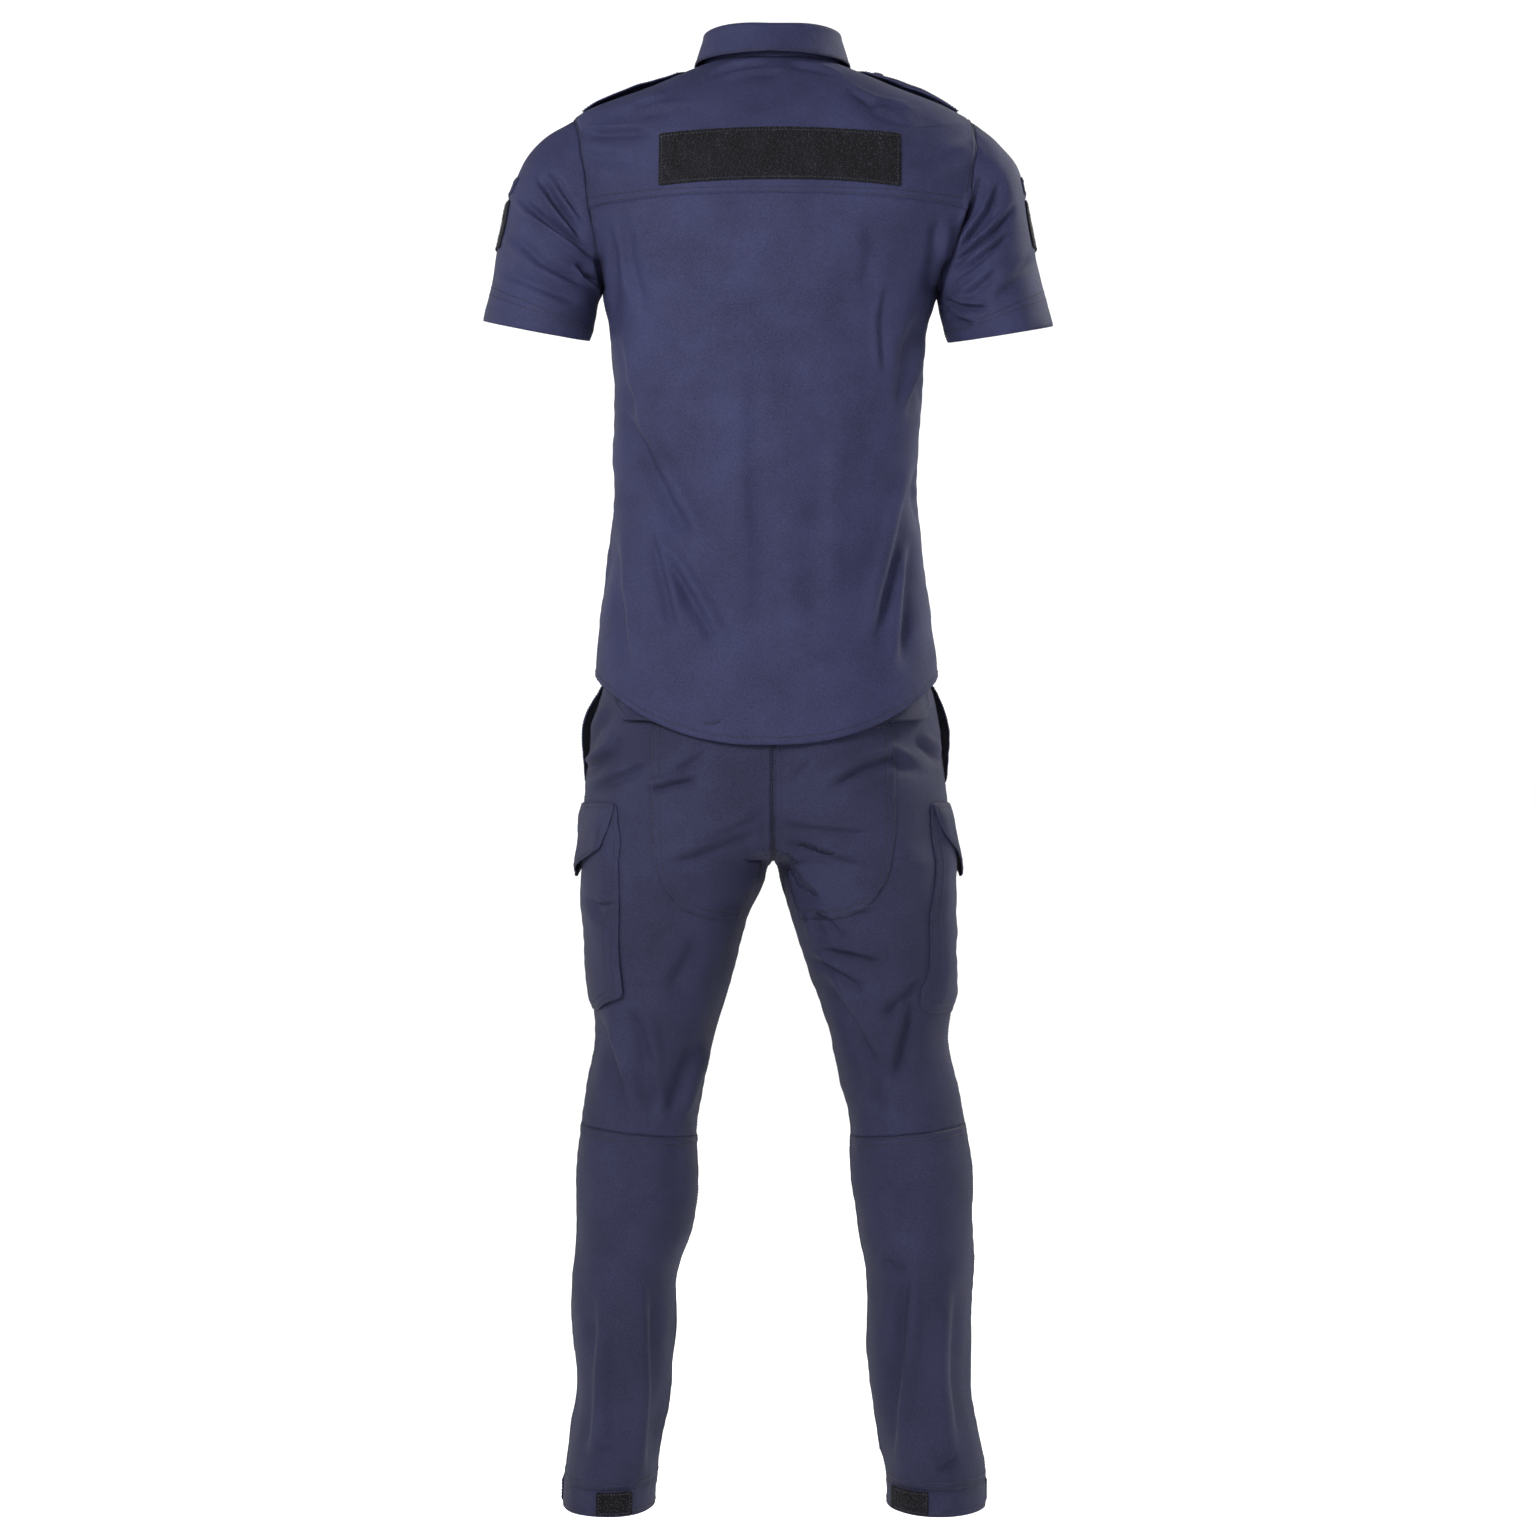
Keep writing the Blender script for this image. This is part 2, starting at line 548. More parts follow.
trouserCreases = (
    (((644, 792), (672, 783), (702, 777)), 3.8, 6.0, -0.7),
    (((672, 773), (690, 762), (708, 750)), 4.5, 4.0, -0.6),
    (((583, 776), (612, 752), (622, 733)), 5, 3.6, -0.6),
    (((588, 794), (618, 778), (654, 761)), 5, 4.6, -0.6),
    (((613, 706), (598, 728), (585, 752)), 4.5, 3.6, 0.7),
    (((583, 770), (598, 762), (615, 750)), 4, 3.0, -0.6),
    (((662, 868), (715, 850), (770, 830)), 7.5, 4.2, -0.6),
    (((700, 842), (730, 832), (765, 815)), 7, 3.4, -0.5),
    (((820, 796), (858, 769), (893, 757), (930, 776)), 6, 5.0, -0.7),
    (((915, 735), (932, 750), (945, 765)), 5, 3.6, -0.6),
    (((788, 785), (800, 770), (815, 758)), 5, 2.2, -0.6),
    (((776, 826), (820, 831), (880, 836)), 7, 3.2, -0.6),
    (((776, 840), (820, 854), (872, 871)), 6.5, 3.4, -0.6),
    (((813, 914), (828, 922), (843, 938)), 4, 5.0, -0.7),
    (((811, 912), (815, 928), (821, 942)), 4, 3.2, 0.6),
    (((813, 949), (848, 955), (888, 964)), 4.5, 6.0, -0.7),
    (((806, 955), (835, 972), (866, 993)), 4.5, 5.6, -0.7),
    (((850, 915), (865, 912), (880, 912)), 4, 2.6, -0.6),
    (((780, 850), (795, 885), (825, 905)), 8, 4.0, -0.5),
    (((596, 900), (608, 902), (620, 901)), 3.5, 3.0, -0.6),
    (((590, 890), (600, 908), (612, 925)), 5, 2.6, 0.5),
    (((815, 968), (848, 1020), (880, 1072)), 8, 7.4, -0.6),
    (((926, 975), (903, 998), (880, 1023)), 7, 5.0, 0.6),
    (((918, 990), (903, 1045), (893, 1095)), 8, 7.0, 0.6),
    (((885, 1060), (880, 1090), (872, 1115)), 7, 3.4, 0.6),
    (((631, 1002), (641, 1035), (652, 1075)), 7, 6.0, -0.6),
    (((594, 1010), (612, 1065), (628, 1118)), 8, 7.0, -0.6),
    (((640, 1060), (650, 1090), (655, 1118)), 7, 3.4, -0.6),
    (((667, 1122), (682, 1085), (700, 1035)), 8, 6.6, 0.6),
    (((700, 930), (690, 960), (665, 1000)), 12, 4.0, 0.5),
    (((881, 1259), (894, 1265), (907, 1269)), 4, 5.0, -0.7),
    (((906, 1262), (899, 1350), (888, 1470)), 8, 8.0, -0.7),
    (((655, 1270), (656, 1390), (648, 1490)), 9, 7.0, 0.7),
    (((592, 1280), (589, 1390), (583, 1480)), 9, 6.0, -0.7),
    (((618, 1330), (613, 1400), (616, 1470)), 14, 3.0, 0.6),
    (((960, 1270), (958, 1380), (964, 1470)), 11, 6.0, 0.6),
    (((931, 1472), (945, 1465), (958, 1458)), 4, 3.6, -0.6),
    (((694, 1170), (660, 1195), (612, 1192)), 12, 3.0, -0.5),
    (((855, 1172), (900, 1200), (958, 1185)), 12, 3.0, -0.5),
    (((586, 1460), (602, 1450), (620, 1452)), 8, 2.8, -0.5),
)
kneeCreases = bothSides((
    (((150, 800), (110, 820), (60, 800)), 8, 5.0, -0.6),
    (((30, 740), (70, 760), (120, 750)), 6, 4.6, -0.6),
    (((15, 800), (50, 780), (90, 775)), 6, 4.0, -0.6),
    (((90, 1060), (130, 1085), (180, 1060)), 9, 4.6, -0.6),
    (((85, 1010), (125, 1030), (170, 1000)), 10, 4.0, -0.6),
    (((150, 1120), (155, 1220), (160, 1330)), 14, 3.6, 0.6),
    (((120, 1340), (160, 1360), (200, 1345)), 9, 3.4, -0.6),
))

# Walls of single cloth, of laid cloth and of doubled cloth, and the gap under a laid piece
clothWall = 0.0009
laidWall = 0.0012
thickWall = 0.0014
laidGap = 0.0002
# How far two points may be apart and still be one
sameSpot = 2e-5
# Distances of the rows of stitches from a seam or an edge
seamRows = (0.0020, 0.0075)
edgeRows = (0.0022, 0.0082)
collarRows = (0.0022, 0.0075)
sleeveHemRows = (0.0175, 0.0225)
waistRows = (0.002, 0.036)
shirtHemRow = 0.0065
bandRow = 0.004
strapRow = 0.004
# Strength of the creases in a table: their width and depth against the numbers there
shirtCrease = (0.62, 1.45)
frontCrease = (0.80, 1.15)
collarCrease = (1.0, 1.0)
trouserCrease = (0.85, 1.2)
kneeCrease = (0.85, 1.1)
cameraPlace = (0.002, 3.6, -0.708)
photoSide = 1536
pixelsPerMetre = 1000.0


# Where points fall in the photograph, in its pixels, as the camera sees them from behind.
def photoPlace(points):
    grow = cameraPlace[1] / (cameraPlace[1] - points[:, 1])
    across = photoSide / 2 - (points[:, 0] - cameraPlace[0]) * pixelsPerMetre * grow
    down = photoSide / 2 - (points[:, 2] - cameraPlace[2]) * pixelsPerMetre * grow
    return np.stack((across, down), axis=1)


# The same for the hidden front, seen square on: millimetres across and down.
def frontPlace(points):
    return np.stack((points[:, 0] * 1000, -points[:, 2] * 1000), axis=1)


def stepUp(value, low, high):
    share = np.clip((value - low) / (high - low), 0, 1)
    return share * share * (3 - 2 * share)


# Distance to a path of points, with a sign for its side, and how far along it the nearest place is.
def pathDistance(places, path):
    path = np.array(path, float)
    runs = np.diff(path, axis=0)
    lengths = np.linalg.norm(runs, axis=1)
    starts = np.concatenate(([0], np.cumsum(lengths)))
    best = np.full(len(places), 1e9)
    signed, along = np.zeros(len(places)), np.zeros(len(places))
    for k, run in enumerate(runs):
        share = np.clip((places - path[k]) @ run / (lengths[k] ** 2 + 1e-12), 0, 1)
        off = places - path[k] - share[:, None] * run
        far = np.linalg.norm(off, axis=1)
        take = far < best
        side = np.sign(run[0] * off[:, 1] - run[1] * off[:, 0])
        best = np.where(take, far, best)
        signed = np.where(take, far * np.where(side == 0, 1, side), signed)
        along = np.where(take, (starts[k] + share * lengths[k]) / starts[-1], along)
    return signed, along


# A soft random relief: plane waves with fixed phases, in the given spacing.
def drift(points, spacing, seed, waves=9):
    source = np.random.default_rng(seed)
    total = np.zeros(len(points))
    for _ in range(waves):
        way = source.normal(size=3)
        way *= 2 * math.pi / (spacing * np.linalg.norm(way) * source.uniform(0.75, 1.6))
        total += np.sin(points @ way + source.uniform(0, 2 * math.pi))
    return total / math.sqrt(waves)


class Sheet:
    # A grid of points on a garment's outer face, with rows down and columns across.
    def __init__(self, points, outward, closed=False):
        self.points = np.array(points, float)
        self.outward = outward
        self.closed = closed
        self.normals = None

    def part(self, rows=slice(None), columns=slice(None)):
        piece = Sheet(self.points[rows, columns], self.outward, self.closed)
        piece.normals = self.normals[rows, columns]
        return piece

    def quads(self):
        high, wide = self.points.shape[:2]
        i, j = np.meshgrid(np.arange(high - 1), np.arange(wide if self.closed else wide - 1), indexing="ij")
        a, b = i * wide + j, i * wide + (j + 1) % wide
        order = (a, b, b + wide, a + wide)
        faces = np.stack(order if self.outward > 0 else order[::-1], axis=-1)
        return faces.reshape(-1, 4)

    def flat(self):
        return self.points.reshape(-1, 3)

    def flatNormals(self):
        return self.normals.reshape(-1, 3)

    # Lengths across and down the cloth, in metres, for the weave.
    def grain(self):
        across = np.linalg.norm(np.diff(self.points, axis=1), axis=2)
        down = np.linalg.norm(np.diff(self.points, axis=0), axis=2)
        across = np.concatenate((np.zeros((len(across), 1)), np.cumsum(across, axis=1)), axis=1)
        down = np.concatenate((np.zeros((1, down.shape[1])), np.cumsum(down, axis=0)), axis=0)
        return np.stack((across, -down), axis=-1).reshape(-1, 2)

    def size(self):
        across = np.linalg.norm(np.diff(self.points, axis=1), axis=2).sum(axis=1).max()
        if self.closed:
            across += np.linalg.norm(self.points[:, 0] - self.points[:, -1], axis=1).max()
        down = np.linalg.norm(np.diff(self.points, axis=0), axis=2).sum(axis=0).max()
        return across, down

    # Points and normals along a row or a column at a place between two grid lines.
    def line(self, row=None, column=None):
        at = row if column is None else column
        low = int(math.floor(at))
        share = at - low
        high = low + 1 if share > 0 else low
        pick = (lambda grid, k: grid[k]) if column is None else (lambda grid, k: grid[:, k])
        points = pick(self.points, low) * (1 - share) + pick(self.points, high) * share
        normals = pick(self.normals, low) * (1 - share) + pick(self.normals, high) * share
        return points, normals


def pointKeys(points):
    return np.unique(np.round(points / sameSpot).astype(np.int64), axis=0, return_inverse=True)[1].reshape(-1)


# Points that meet in several sheets get one normal.
def shareNormals(sheets):
    points = np.concatenate([sheet.flat() for sheet in sheets])
    keys = pointKeys(points)
    total = np.zeros((keys.max() + 1, 3))
    start = 0
    for sheet in sheets:
        faces = sheet.quads() + start
        one = points[faces[:, 2]] - points[faces[:, 0]]
        two = points[faces[:, 3]] - points[faces[:, 1]]
        crossed = np.cross(one, two)
        for k in range(4):
            np.add.at(total, keys[faces[:, k]], crossed)
        start += len(sheet.flat())
    total /= np.linalg.norm(total, axis=1)[:, None] + 1e-15
    start = 0
    for sheet in sheets:
        count = len(sheet.flat())
        sheet.normals = total[keys[start:start + count]].reshape(sheet.points.shape)
        start += count


# A crease's shape: the share of its length over which each end fades, the widths of its steep and its easy
# side, and the place of its lip, as shares of the half-width
creaseEnd = 0.30
steepSide = 0.75
easySide = 1.5
lipPlace = 1.7


# The lift of every crease in a table, for points of one garment seen from one side.
def creaseLift(table, places, narrow, deep):
    lift = np.zeros(len(places))
    for path, width, depth, lip in table:
        width, depth = width * narrow, depth * deep
        far, along = pathDistance(places, path)
        far = far * np.sign(lip)
        fade = stepUp(along, 0.0, creaseEnd) * (1 - stepUp(along, 1 - creaseEnd, 1.0))
        trough = np.exp(-((far / np.where(far > 0, steepSide * width, easySide * width)) ** 2))
        ridge = np.exp(-(((far - lipPlace * width) / width) ** 2)) * abs(lip)
        lift += depth * fade * (ridge - trough)
    return lift / 1000


grooveWidth = 0.0022
puckerSpacing = 0.016
puckerReach = 0.010


# Raised edge, sewn groove and small puckers beside a seam, from the distance to its points.
def seamLift(points, seam, settings):
    tree = KDTree(len(seam))
    for k, place in enumerate(seam):
        tree.insert(place, k)
    tree.balance()
    far = np.array([tree.find(point)[2] for point in points])
    raised = settings["rise"] * (1 - stepUp(far, settings["width"] * 0.7, settings["width"]))
    groove = settings["groove"] * np.exp(-((far / grooveWidth) ** 2))
    pucker = settings["pucker"] * drift(points, puckerSpacing, settings["seed"])
    pucker *= np.exp(-((far / puckerReach) ** 2))
    return raised - groove + pucker


def lifted(sheet, lift):
    sheet.points = sheet.points + lift.reshape(sheet.points.shape[:2])[..., None] * sheet.normals


def newMesh(name, points, shapes, grain=None):
    mesh = bpy.data.meshes.new(name)
    mesh.from_pydata(points.tolist(), [], [list(map(int, shape)) for shape in shapes])
    if grain is not None:
        layer = mesh.uv_layers.new(name="grain")
        corners = np.zeros(len(mesh.loops), np.int32)
        mesh.loops.foreach_get("vertex_index", corners)
        layer.data.foreach_set("uv", grain[corners].astype(np.float32).ravel())
    mesh.validate()
    mesh.polygons.foreach_set("use_smooth", [True] * len(mesh.polygons))
    mesh.update()
    return mesh


# A closed piece of cloth: outer face, inner face and the cut edge between them.
def clothPiece(name, points, normals, shapes, grain, wall, material, below=0.0):
    shapes = [tuple(int(v) for v in shape) for shape in shapes]
    count = len(points)
    edges = {(s[k], s[(k + 1) % len(s)]) for s in shapes for k in range(len(s))}
    rim = sorted(edge for edge in edges if edge[::-1] not in edges)
    allPoints = np.concatenate((points + normals * below, points + normals * (below - wall)))
    allShapes = shapes + [tuple(v + count for v in shape[::-1]) for shape in shapes]
    allShapes += [(two, one, one + count, two + count) for one, two in rim]
    piece = bpy.data.objects.new(name, newMesh(name, allPoints, allShapes, np.concatenate((grain, grain))))
    piece.data.materials.append(material)
    bpy.context.scene.collection.objects.link(piece)
    return piece


def meshArea(points, shapes):
    shapes = np.array([list(shape)[:3] + [list(shape)[-1]] for shape in shapes])
    one = np.cross(points[shapes[:, 1]] - points[shapes[:, 0]], points[shapes[:, 2]] - points[shapes[:, 0]])
    two = np.cross(points[shapes[:, 2]] - points[shapes[:, 0]], points[shapes[:, 3]] - points[shapes[:, 0]])
    return (np.linalg.norm(one, axis=1).sum() + np.linalg.norm(two, axis=1).sum()) / 2


sheetFacts = []
# The flat cut is taken this much wider and longer than the worn piece
cutEase = 1.02


# Declare a finished piece: what it stands for, its finish and the cut it was sewn from.
def settle(piece, node, width, length, area, held):
    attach(piece, "root")
    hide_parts(node)
    width, length = round(width * cutEase, 3), round(length * cutEase, 3)
    area = round(min(area, width * length), 4)
    sheetFacts.append((piece.name, width, length, area, held))


def sheetPiece(name, node, sheet, material, held="hung", wall=clothWall):
    piece = clothPiece(name, sheet.flat(), sheet.flatNormals(), sheet.quads(), sheet.grain(), wall, material)
    width, length = sheet.size()
    settle(piece, node, width, length, meshArea(sheet.flat(), sheet.quads()), held)
    return piece


class Patch:
    # An open mesh on a laid piece's outer face, on which a further piece can lie.
    def __init__(self, points, normals, shapes):
        self.points, self.normals, self.shapes = points, normals, shapes

    def flat(self):
        return self.points

    def flatNormals(self):
        return self.normals

    def quads(self):
        return self.shapes


# Round the corners of a convex outline.
def rounded(outline, radius, steps=5):
    corners = [np.array(c, float) for c in outline]
    result = []
    for k, corner in enumerate(corners):
        before, after = corners[k - 1] - corner, corners[(k + 1) % len(corners)] - corner
        cut = min(radius, np.linalg.norm(before) / 2.1, np.linalg.norm(after) / 2.1)
        start = corner + before / np.linalg.norm(before) * cut
        end = corner + after / np.linalg.norm(after) * cut
        for t in np.linspace(0, 1, steps):
            result.append(tuple((1 - t) ** 2 * start + 2 * t * (1 - t) * corner + t * t * end))
    return result


# One open mesh of the sheets' faces that look the given way within an outline's box.
def gather(sheets, view, facing, outline, leastTurn):
    work = bmesh.new()
    stored = work.verts.layers.float_vector.new("sharedNormal")
    axis, across = (0, 1) if view == "x" else (1, 0)
    margin = 0.012
    low = np.min(outline, axis=0) - margin
    high = np.max(outline, axis=0) + margin
    for sheet in sheets:
        points, normals = sheet.flat(), sheet.flatNormals()
        plane = points[:, [across, 2]]
        near = ((plane > low) & (plane < high)).all(axis=1) & (normals[:, axis] * facing > leastTurn)
        verts = {}
        for shape in sheet.quads():
            if not all(near[v] for v in shape):
                continue
            for v in shape:
                if v not in verts:
                    verts[v] = work.verts.new(points[v])
                    verts[v][stored] = Vector(normals[v])
            work.faces.new([verts[v] for v in shape])
    bmesh.ops.remove_doubles(work, verts=work.verts, dist=sameSpot)
    return work, stored


def cutToOutline(work, outline, view):
    across = 1 if view == "x" else 0
    corners = [np.array(c, float) for c in outline]
    area = sum(p[0] * q[1] - p[1] * q[0] for p, q in zip(corners, corners[1:] + corners[:1]))
    for p, q in zip(corners, corners[1:] + corners[:1]):
        run = q - p
        out = np.array((run[1], -run[0])) * (1 if area > 0 else -1)
        spot, normal = Vector(), Vector()
        spot[across], spot[2] = p
        normal[across], normal[2] = out
        geometry = work.verts[:] + work.edges[:] + work.faces[:]
        bmesh.ops.bisect_plane(
            work, geom=geometry, dist=1e-7, plane_co=spot, plane_no=normal.normalized(), clear_outer=True
        )
    bmesh.ops.remove_doubles(work, verts=work.verts, dist=3e-4)


# A piece laid on the cloth beneath: cut to its outline, moved out, and lifted by a function of its points.
def laidPiece(name, node, sheets, settings, material, slot, restsOn, lift=None):
    outline = settings["outline"]
    view, facing = settings["view"], settings["facing"]
    work, stored = gather(sheets, view, facing, outline, settings.get("turn", 0.04))
    bow, middle = settings.get("bow", 0.0), sum(corner[0] for corner in outline) / len(outline)
    for vert in work.verts:
        vert.co.z += bow * (vert.co.x - middle) ** 2
    cutToOutline(work, outline, view)
    for vert in work.verts:
        vert.co.z -= bow * (vert.co.x - middle) ** 2
    work.verts.index_update()
    points = np.array([vert.co for vert in work.verts])
    normals = np.array([vert[stored] for vert in work.verts])
    normals /= np.linalg.norm(normals, axis=1)[:, None]
    shapes = [tuple(vert.index for vert in face.verts) for face in work.faces]
    work.free()
    across = 1 if view == "x" else 0
    grain = points[:, [across, 2]]
    raised = np.full(len(points), settings["gap"] + settings["wall"])
    if lift is not None:
        raised = raised + lift(points)
    outer = points + normals * raised[:, None]
    piece = clothPiece(name, outer, normals, shapes, grain, settings["wall"], material)
    area = piecesArea(outer, shapes)
    spread = np.ptp(points[:, [across, 2]], axis=0)
    width = max(spread[0], area / spread[1] * cutEase)
    settle(piece, node, width, spread[1], area, "laid")
    return Patch(outer, normals, shapes)


def piecesArea(points, shapes):
    total = 0.0
    for shape in shapes:
        first = points[shape[0]]
        for one, two in zip(shape[1:-1], shape[2:]):
            total += np.linalg.norm(np.cross(points[one] - first, points[two] - first)) / 2
    return total


# Points along an inset outline, on the outer face of a laid piece, for its stitches.
def insetPath(outline, inset, closedPath=True, spacing=0.004):
    corners = np.array(outline, float)
    area = sum(p[0] * q[1] - p[1] * q[0] for p, q in zip(corners, np.roll(corners, -1, axis=0)))
    turn = 1 if area > 0 else -1
    moved = []
    for k, corner in enumerate(corners):
        before = corner - corners[k - 1]
        after = corners[(k + 1) % len(corners)] - corner
        ways = [np.array((-w[1], w[0])) / np.linalg.norm(w) * turn for w in (before, after)]
        way = ways[0] + ways[1]
        way /= max(way @ way / 2, 0.6)
        moved.append(corner + way * inset)
    if closedPath:
        moved.append(moved[0])
    path = []
    for p, q in zip(moved[:-1], moved[1:]):
        count = max(1, int(np.linalg.norm(q - p) / spacing))
        path += [p + (q - p) * k / count for k in range(count)]
    path.append(moved[-1])
    return np.array(path)


# Drop a flat path on to a patch and give points and normals.
def onPatch(patch, path, view, facing):
    corners = [tuple(p) for p in patch.flat()]
    tree = BVHTree.FromPolygons(corners, [tuple(int(v) for v in shape) for shape in patch.quads()])
    axis, across = (0, 1) if view == "x" else (1, 0)
    points, normals = [], []
    for place in path:
        start, way = Vector((0, 0, place[1])), Vector((0, 0, 0))
        start[across] = place[0]
        start[axis] = 1.0 * facing
        way[axis] = -facing
        hit, normal, _, _ = tree.ray_cast(start, way)
        if hit is not None:
            points.append(np.array(hit))
            normals.append(np.array(normal) * (1 if normal[axis] * facing > 0 else -1))
    return np.array(points), np.array(normals)


def linear(hexColour):
    values = [int(hexColour[k:k + 2], 16) / 255 for k in (1, 3, 5)]
    return tuple(v / 12.92 if v <= 0.04045 else ((v + 0.055) / 1.055) ** 2.4 for v in values) + (1.0,)


# Add a node: settings are its own properties, inputs are values, and a node or socket there makes a link.
def addNode(tree, kind, settings=None, inputs=None):
    node = tree.nodes.new(kind)
    for name, value in (settings or {}).items():
        setattr(node, name, value)
    for name, value in (inputs or {}).items():
        socket = node.inputs[name]
        if isinstance(value, bpy.types.NodeSocket):
            tree.links.new(value, socket)
        elif isinstance(value, bpy.types.Node):
            tree.links.new(value.outputs[0], socket)
        else:
            socket.default_value = value
    return node


# Woven cloth: a twill or plain weave, uneven yarn colour, soft wear over the body, and a matt face.
def clothMaterial(name, look):
    material = bpy.data.materials.new(name)
    material.use_nodes = True
    tree = material.node_tree
    shader = tree.nodes["Principled BSDF"]
    place = addNode(tree, "ShaderNodeTexCoord")
    grain = addNode(tree, "ShaderNodeMapping", {"vector_type": "POINT"}, {
        "Vector": place.outputs["UV"], "Rotation": (0, 0, math.radians(look["turn"]))})
    waveScale = 2 * math.pi / (20 * look["pitch"])
    ribs = addNode(tree, "ShaderNodeTexWave", {"wave_type": "BANDS", "bands_direction": "X"}, {
        "Vector": grain, "Scale": waveScale, "Distortion": 0.6, "Detail": 1.0, "Detail Scale": 1.4})
    yarn = addNode(tree, "ShaderNodeTexNoise", None, {
        "Vector": place.outputs["Object"], "Scale": 1 / look["yarn"], "Detail": 3.0, "Roughness": 0.62})
    broad = addNode(tree, "ShaderNodeTexNoise", None, {
        "Vector": place.outputs["Object"], "Scale": 1 / look["patch"], "Detail": 4.0, "Roughness": 0.55})
    mixed = addNode(tree, "ShaderNodeMath", {"operation": "MULTIPLY_ADD"}, {0: yarn, 1: 0.65, 2: 0.0})
    both = addNode(tree, "ShaderNodeMath", {"operation": "MULTIPLY_ADD"}, {0: broad, 1: 0.35, 2: mixed})
    tone = addNode(tree, "ShaderNodeMapRange", None, {
        "Value": both, "From Min": 0.34, "From Max": 0.66, "To Min": 0.0, "To Max": 1.0})
    colour = addNode(tree, "ShaderNodeMix", {"data_type": "RGBA"}, {
        "Factor": tone.outputs[0]})
    for socket in colour.inputs:
        if socket.type == "RGBA":
            socket.default_value = linear(look["dark"] if socket.name == "A" else look["light"])
    tree.links.new(colour.outputs["Result"] if colour.outputs["Result"].type == "RGBA" else colour.outputs[2],
                   shader.inputs["Base Color"])
    height = addNode(tree, "ShaderNodeMath", {"operation": "MULTIPLY_ADD"}, {
        0: ribs.outputs["Fac"], 1: look["ribs"], 2: yarn})
    bump = addNode(tree, "ShaderNodeBump", None, {
        "Strength": look["bump"], "Distance": look["depth"], "Height": height})
    tree.links.new(bump.outputs["Normal"], shader.inputs["Normal"])
    rough = addNode(tree, "ShaderNodeMapRange", None, {
        "Value": yarn, "To Min": look["rough"] - 0.05, "To Max": look["rough"] + 0.06})
    tree.links.new(rough.outputs[0], shader.inputs["Roughness"])
    shader.inputs["Sheen Weight"].default_value = look["sheen"]
    shader.inputs["Sheen Roughness"].default_value = 0.45
    shader.inputs["Sheen Tint"].default_value = linear(look["light"])
    shader.inputs["Specular IOR Level"].default_value = look["gloss"]
    return material


# Moulded resin: faint mottling and a soft gloss.
def buttonMaterial(name, look):
    material = bpy.data.materials.new(name)
    material.use_nodes = True
    tree = material.node_tree
    shader = tree.nodes["Principled BSDF"]
    place = addNode(tree, "ShaderNodeTexCoord")
    cloud = addNode(tree, "ShaderNodeTexNoise", None, {
        "Vector": place.outputs["Object"], "Scale": 420.0, "Detail": 2.0})
    ramp = addNode(tree, "ShaderNodeValToRGB", None, {"Fac": cloud})
    ramp.color_ramp.elements[0].color = linear(look["dark"])
    ramp.color_ramp.elements[1].color = linear(look["light"])
    tree.links.new(ramp.outputs[0], shader.inputs["Base Color"])
    rough = addNode(tree, "ShaderNodeMapRange", None, {"Value": cloud, "To Min": 0.30, "To Max": 0.46})
    tree.links.new(rough.outputs[0], shader.inputs["Roughness"])
    shader.inputs["Specular IOR Level"].default_value = 0.5
    return material


shirtCloth = clothMaterial("Woven polyester-cotton poplin", {
    "dark": "#1b1c31", "light": "#2e304e", "pitch": 0.00042, "turn": 0, "yarn": 0.0013, "patch": 0.055,
    "ribs": 0.35, "bump": 0.55, "depth": 0.00022, "rough": 0.72, "sheen": 0.02, "gloss": 0.14})
trouserCloth = clothMaterial("Woven polyester-cotton twill", {
    "dark": "#191a2c", "light": "#2a2b44", "pitch": 0.00062, "turn": 27, "yarn": 0.0014, "patch": 0.060,
    "ribs": 0.60, "bump": 0.65, "depth": 0.00028, "rough": 0.74, "sheen": 0.02, "gloss": 0.14})
loopTape = clothMaterial("Loop tape nylon pile", {
    "dark": "#060607", "light": "#1c1c20", "pitch": 0.0016, "turn": 0, "yarn": 0.0009, "patch": 0.020,
    "ribs": 0.30, "bump": 0.9, "depth": 0.0006, "rough": 0.93, "sheen": 0.08, "gloss": 0.10})
fibreCloth = clothMaterial("Nylon pile fibre", {
    "dark": "#101012", "light": "#505059", "pitch": 0.0003, "turn": 0, "yarn": 0.0030, "patch": 0.012,
    "ribs": 0.2, "bump": 0.2, "depth": 0.0001, "rough": 0.70, "sheen": 0.05, "gloss": 0.25})
threadCloth = clothMaterial("Polyester sewing thread", {
    "dark": "#0b0c18", "light": "#16172a", "pitch": 0.0003, "turn": 35, "yarn": 0.0006, "patch": 0.02,
    "ribs": 0.6, "bump": 0.4, "depth": 0.0001, "rough": 0.62, "sheen": 0.1, "gloss": 0.4})
resin = buttonMaterial("Moulded resin buttons", {"dark": "#15172b", "light": "#262a46"})
print("stage: materials")

stitchPaths = {"shirt": [], "trousers": []}


# Keep a run of stitches for later: points and normals on the outer face.
def stitchAlong(garment, line):
    points, normals = line
    if len(points) > 1:
        stitchPaths[garment].append((np.array(points), np.array(normals)))


seamLook = {"width": 0.009, "rise": 0.0004, "groove": 0.00035, "pucker": 0.0004, "seed": 4}

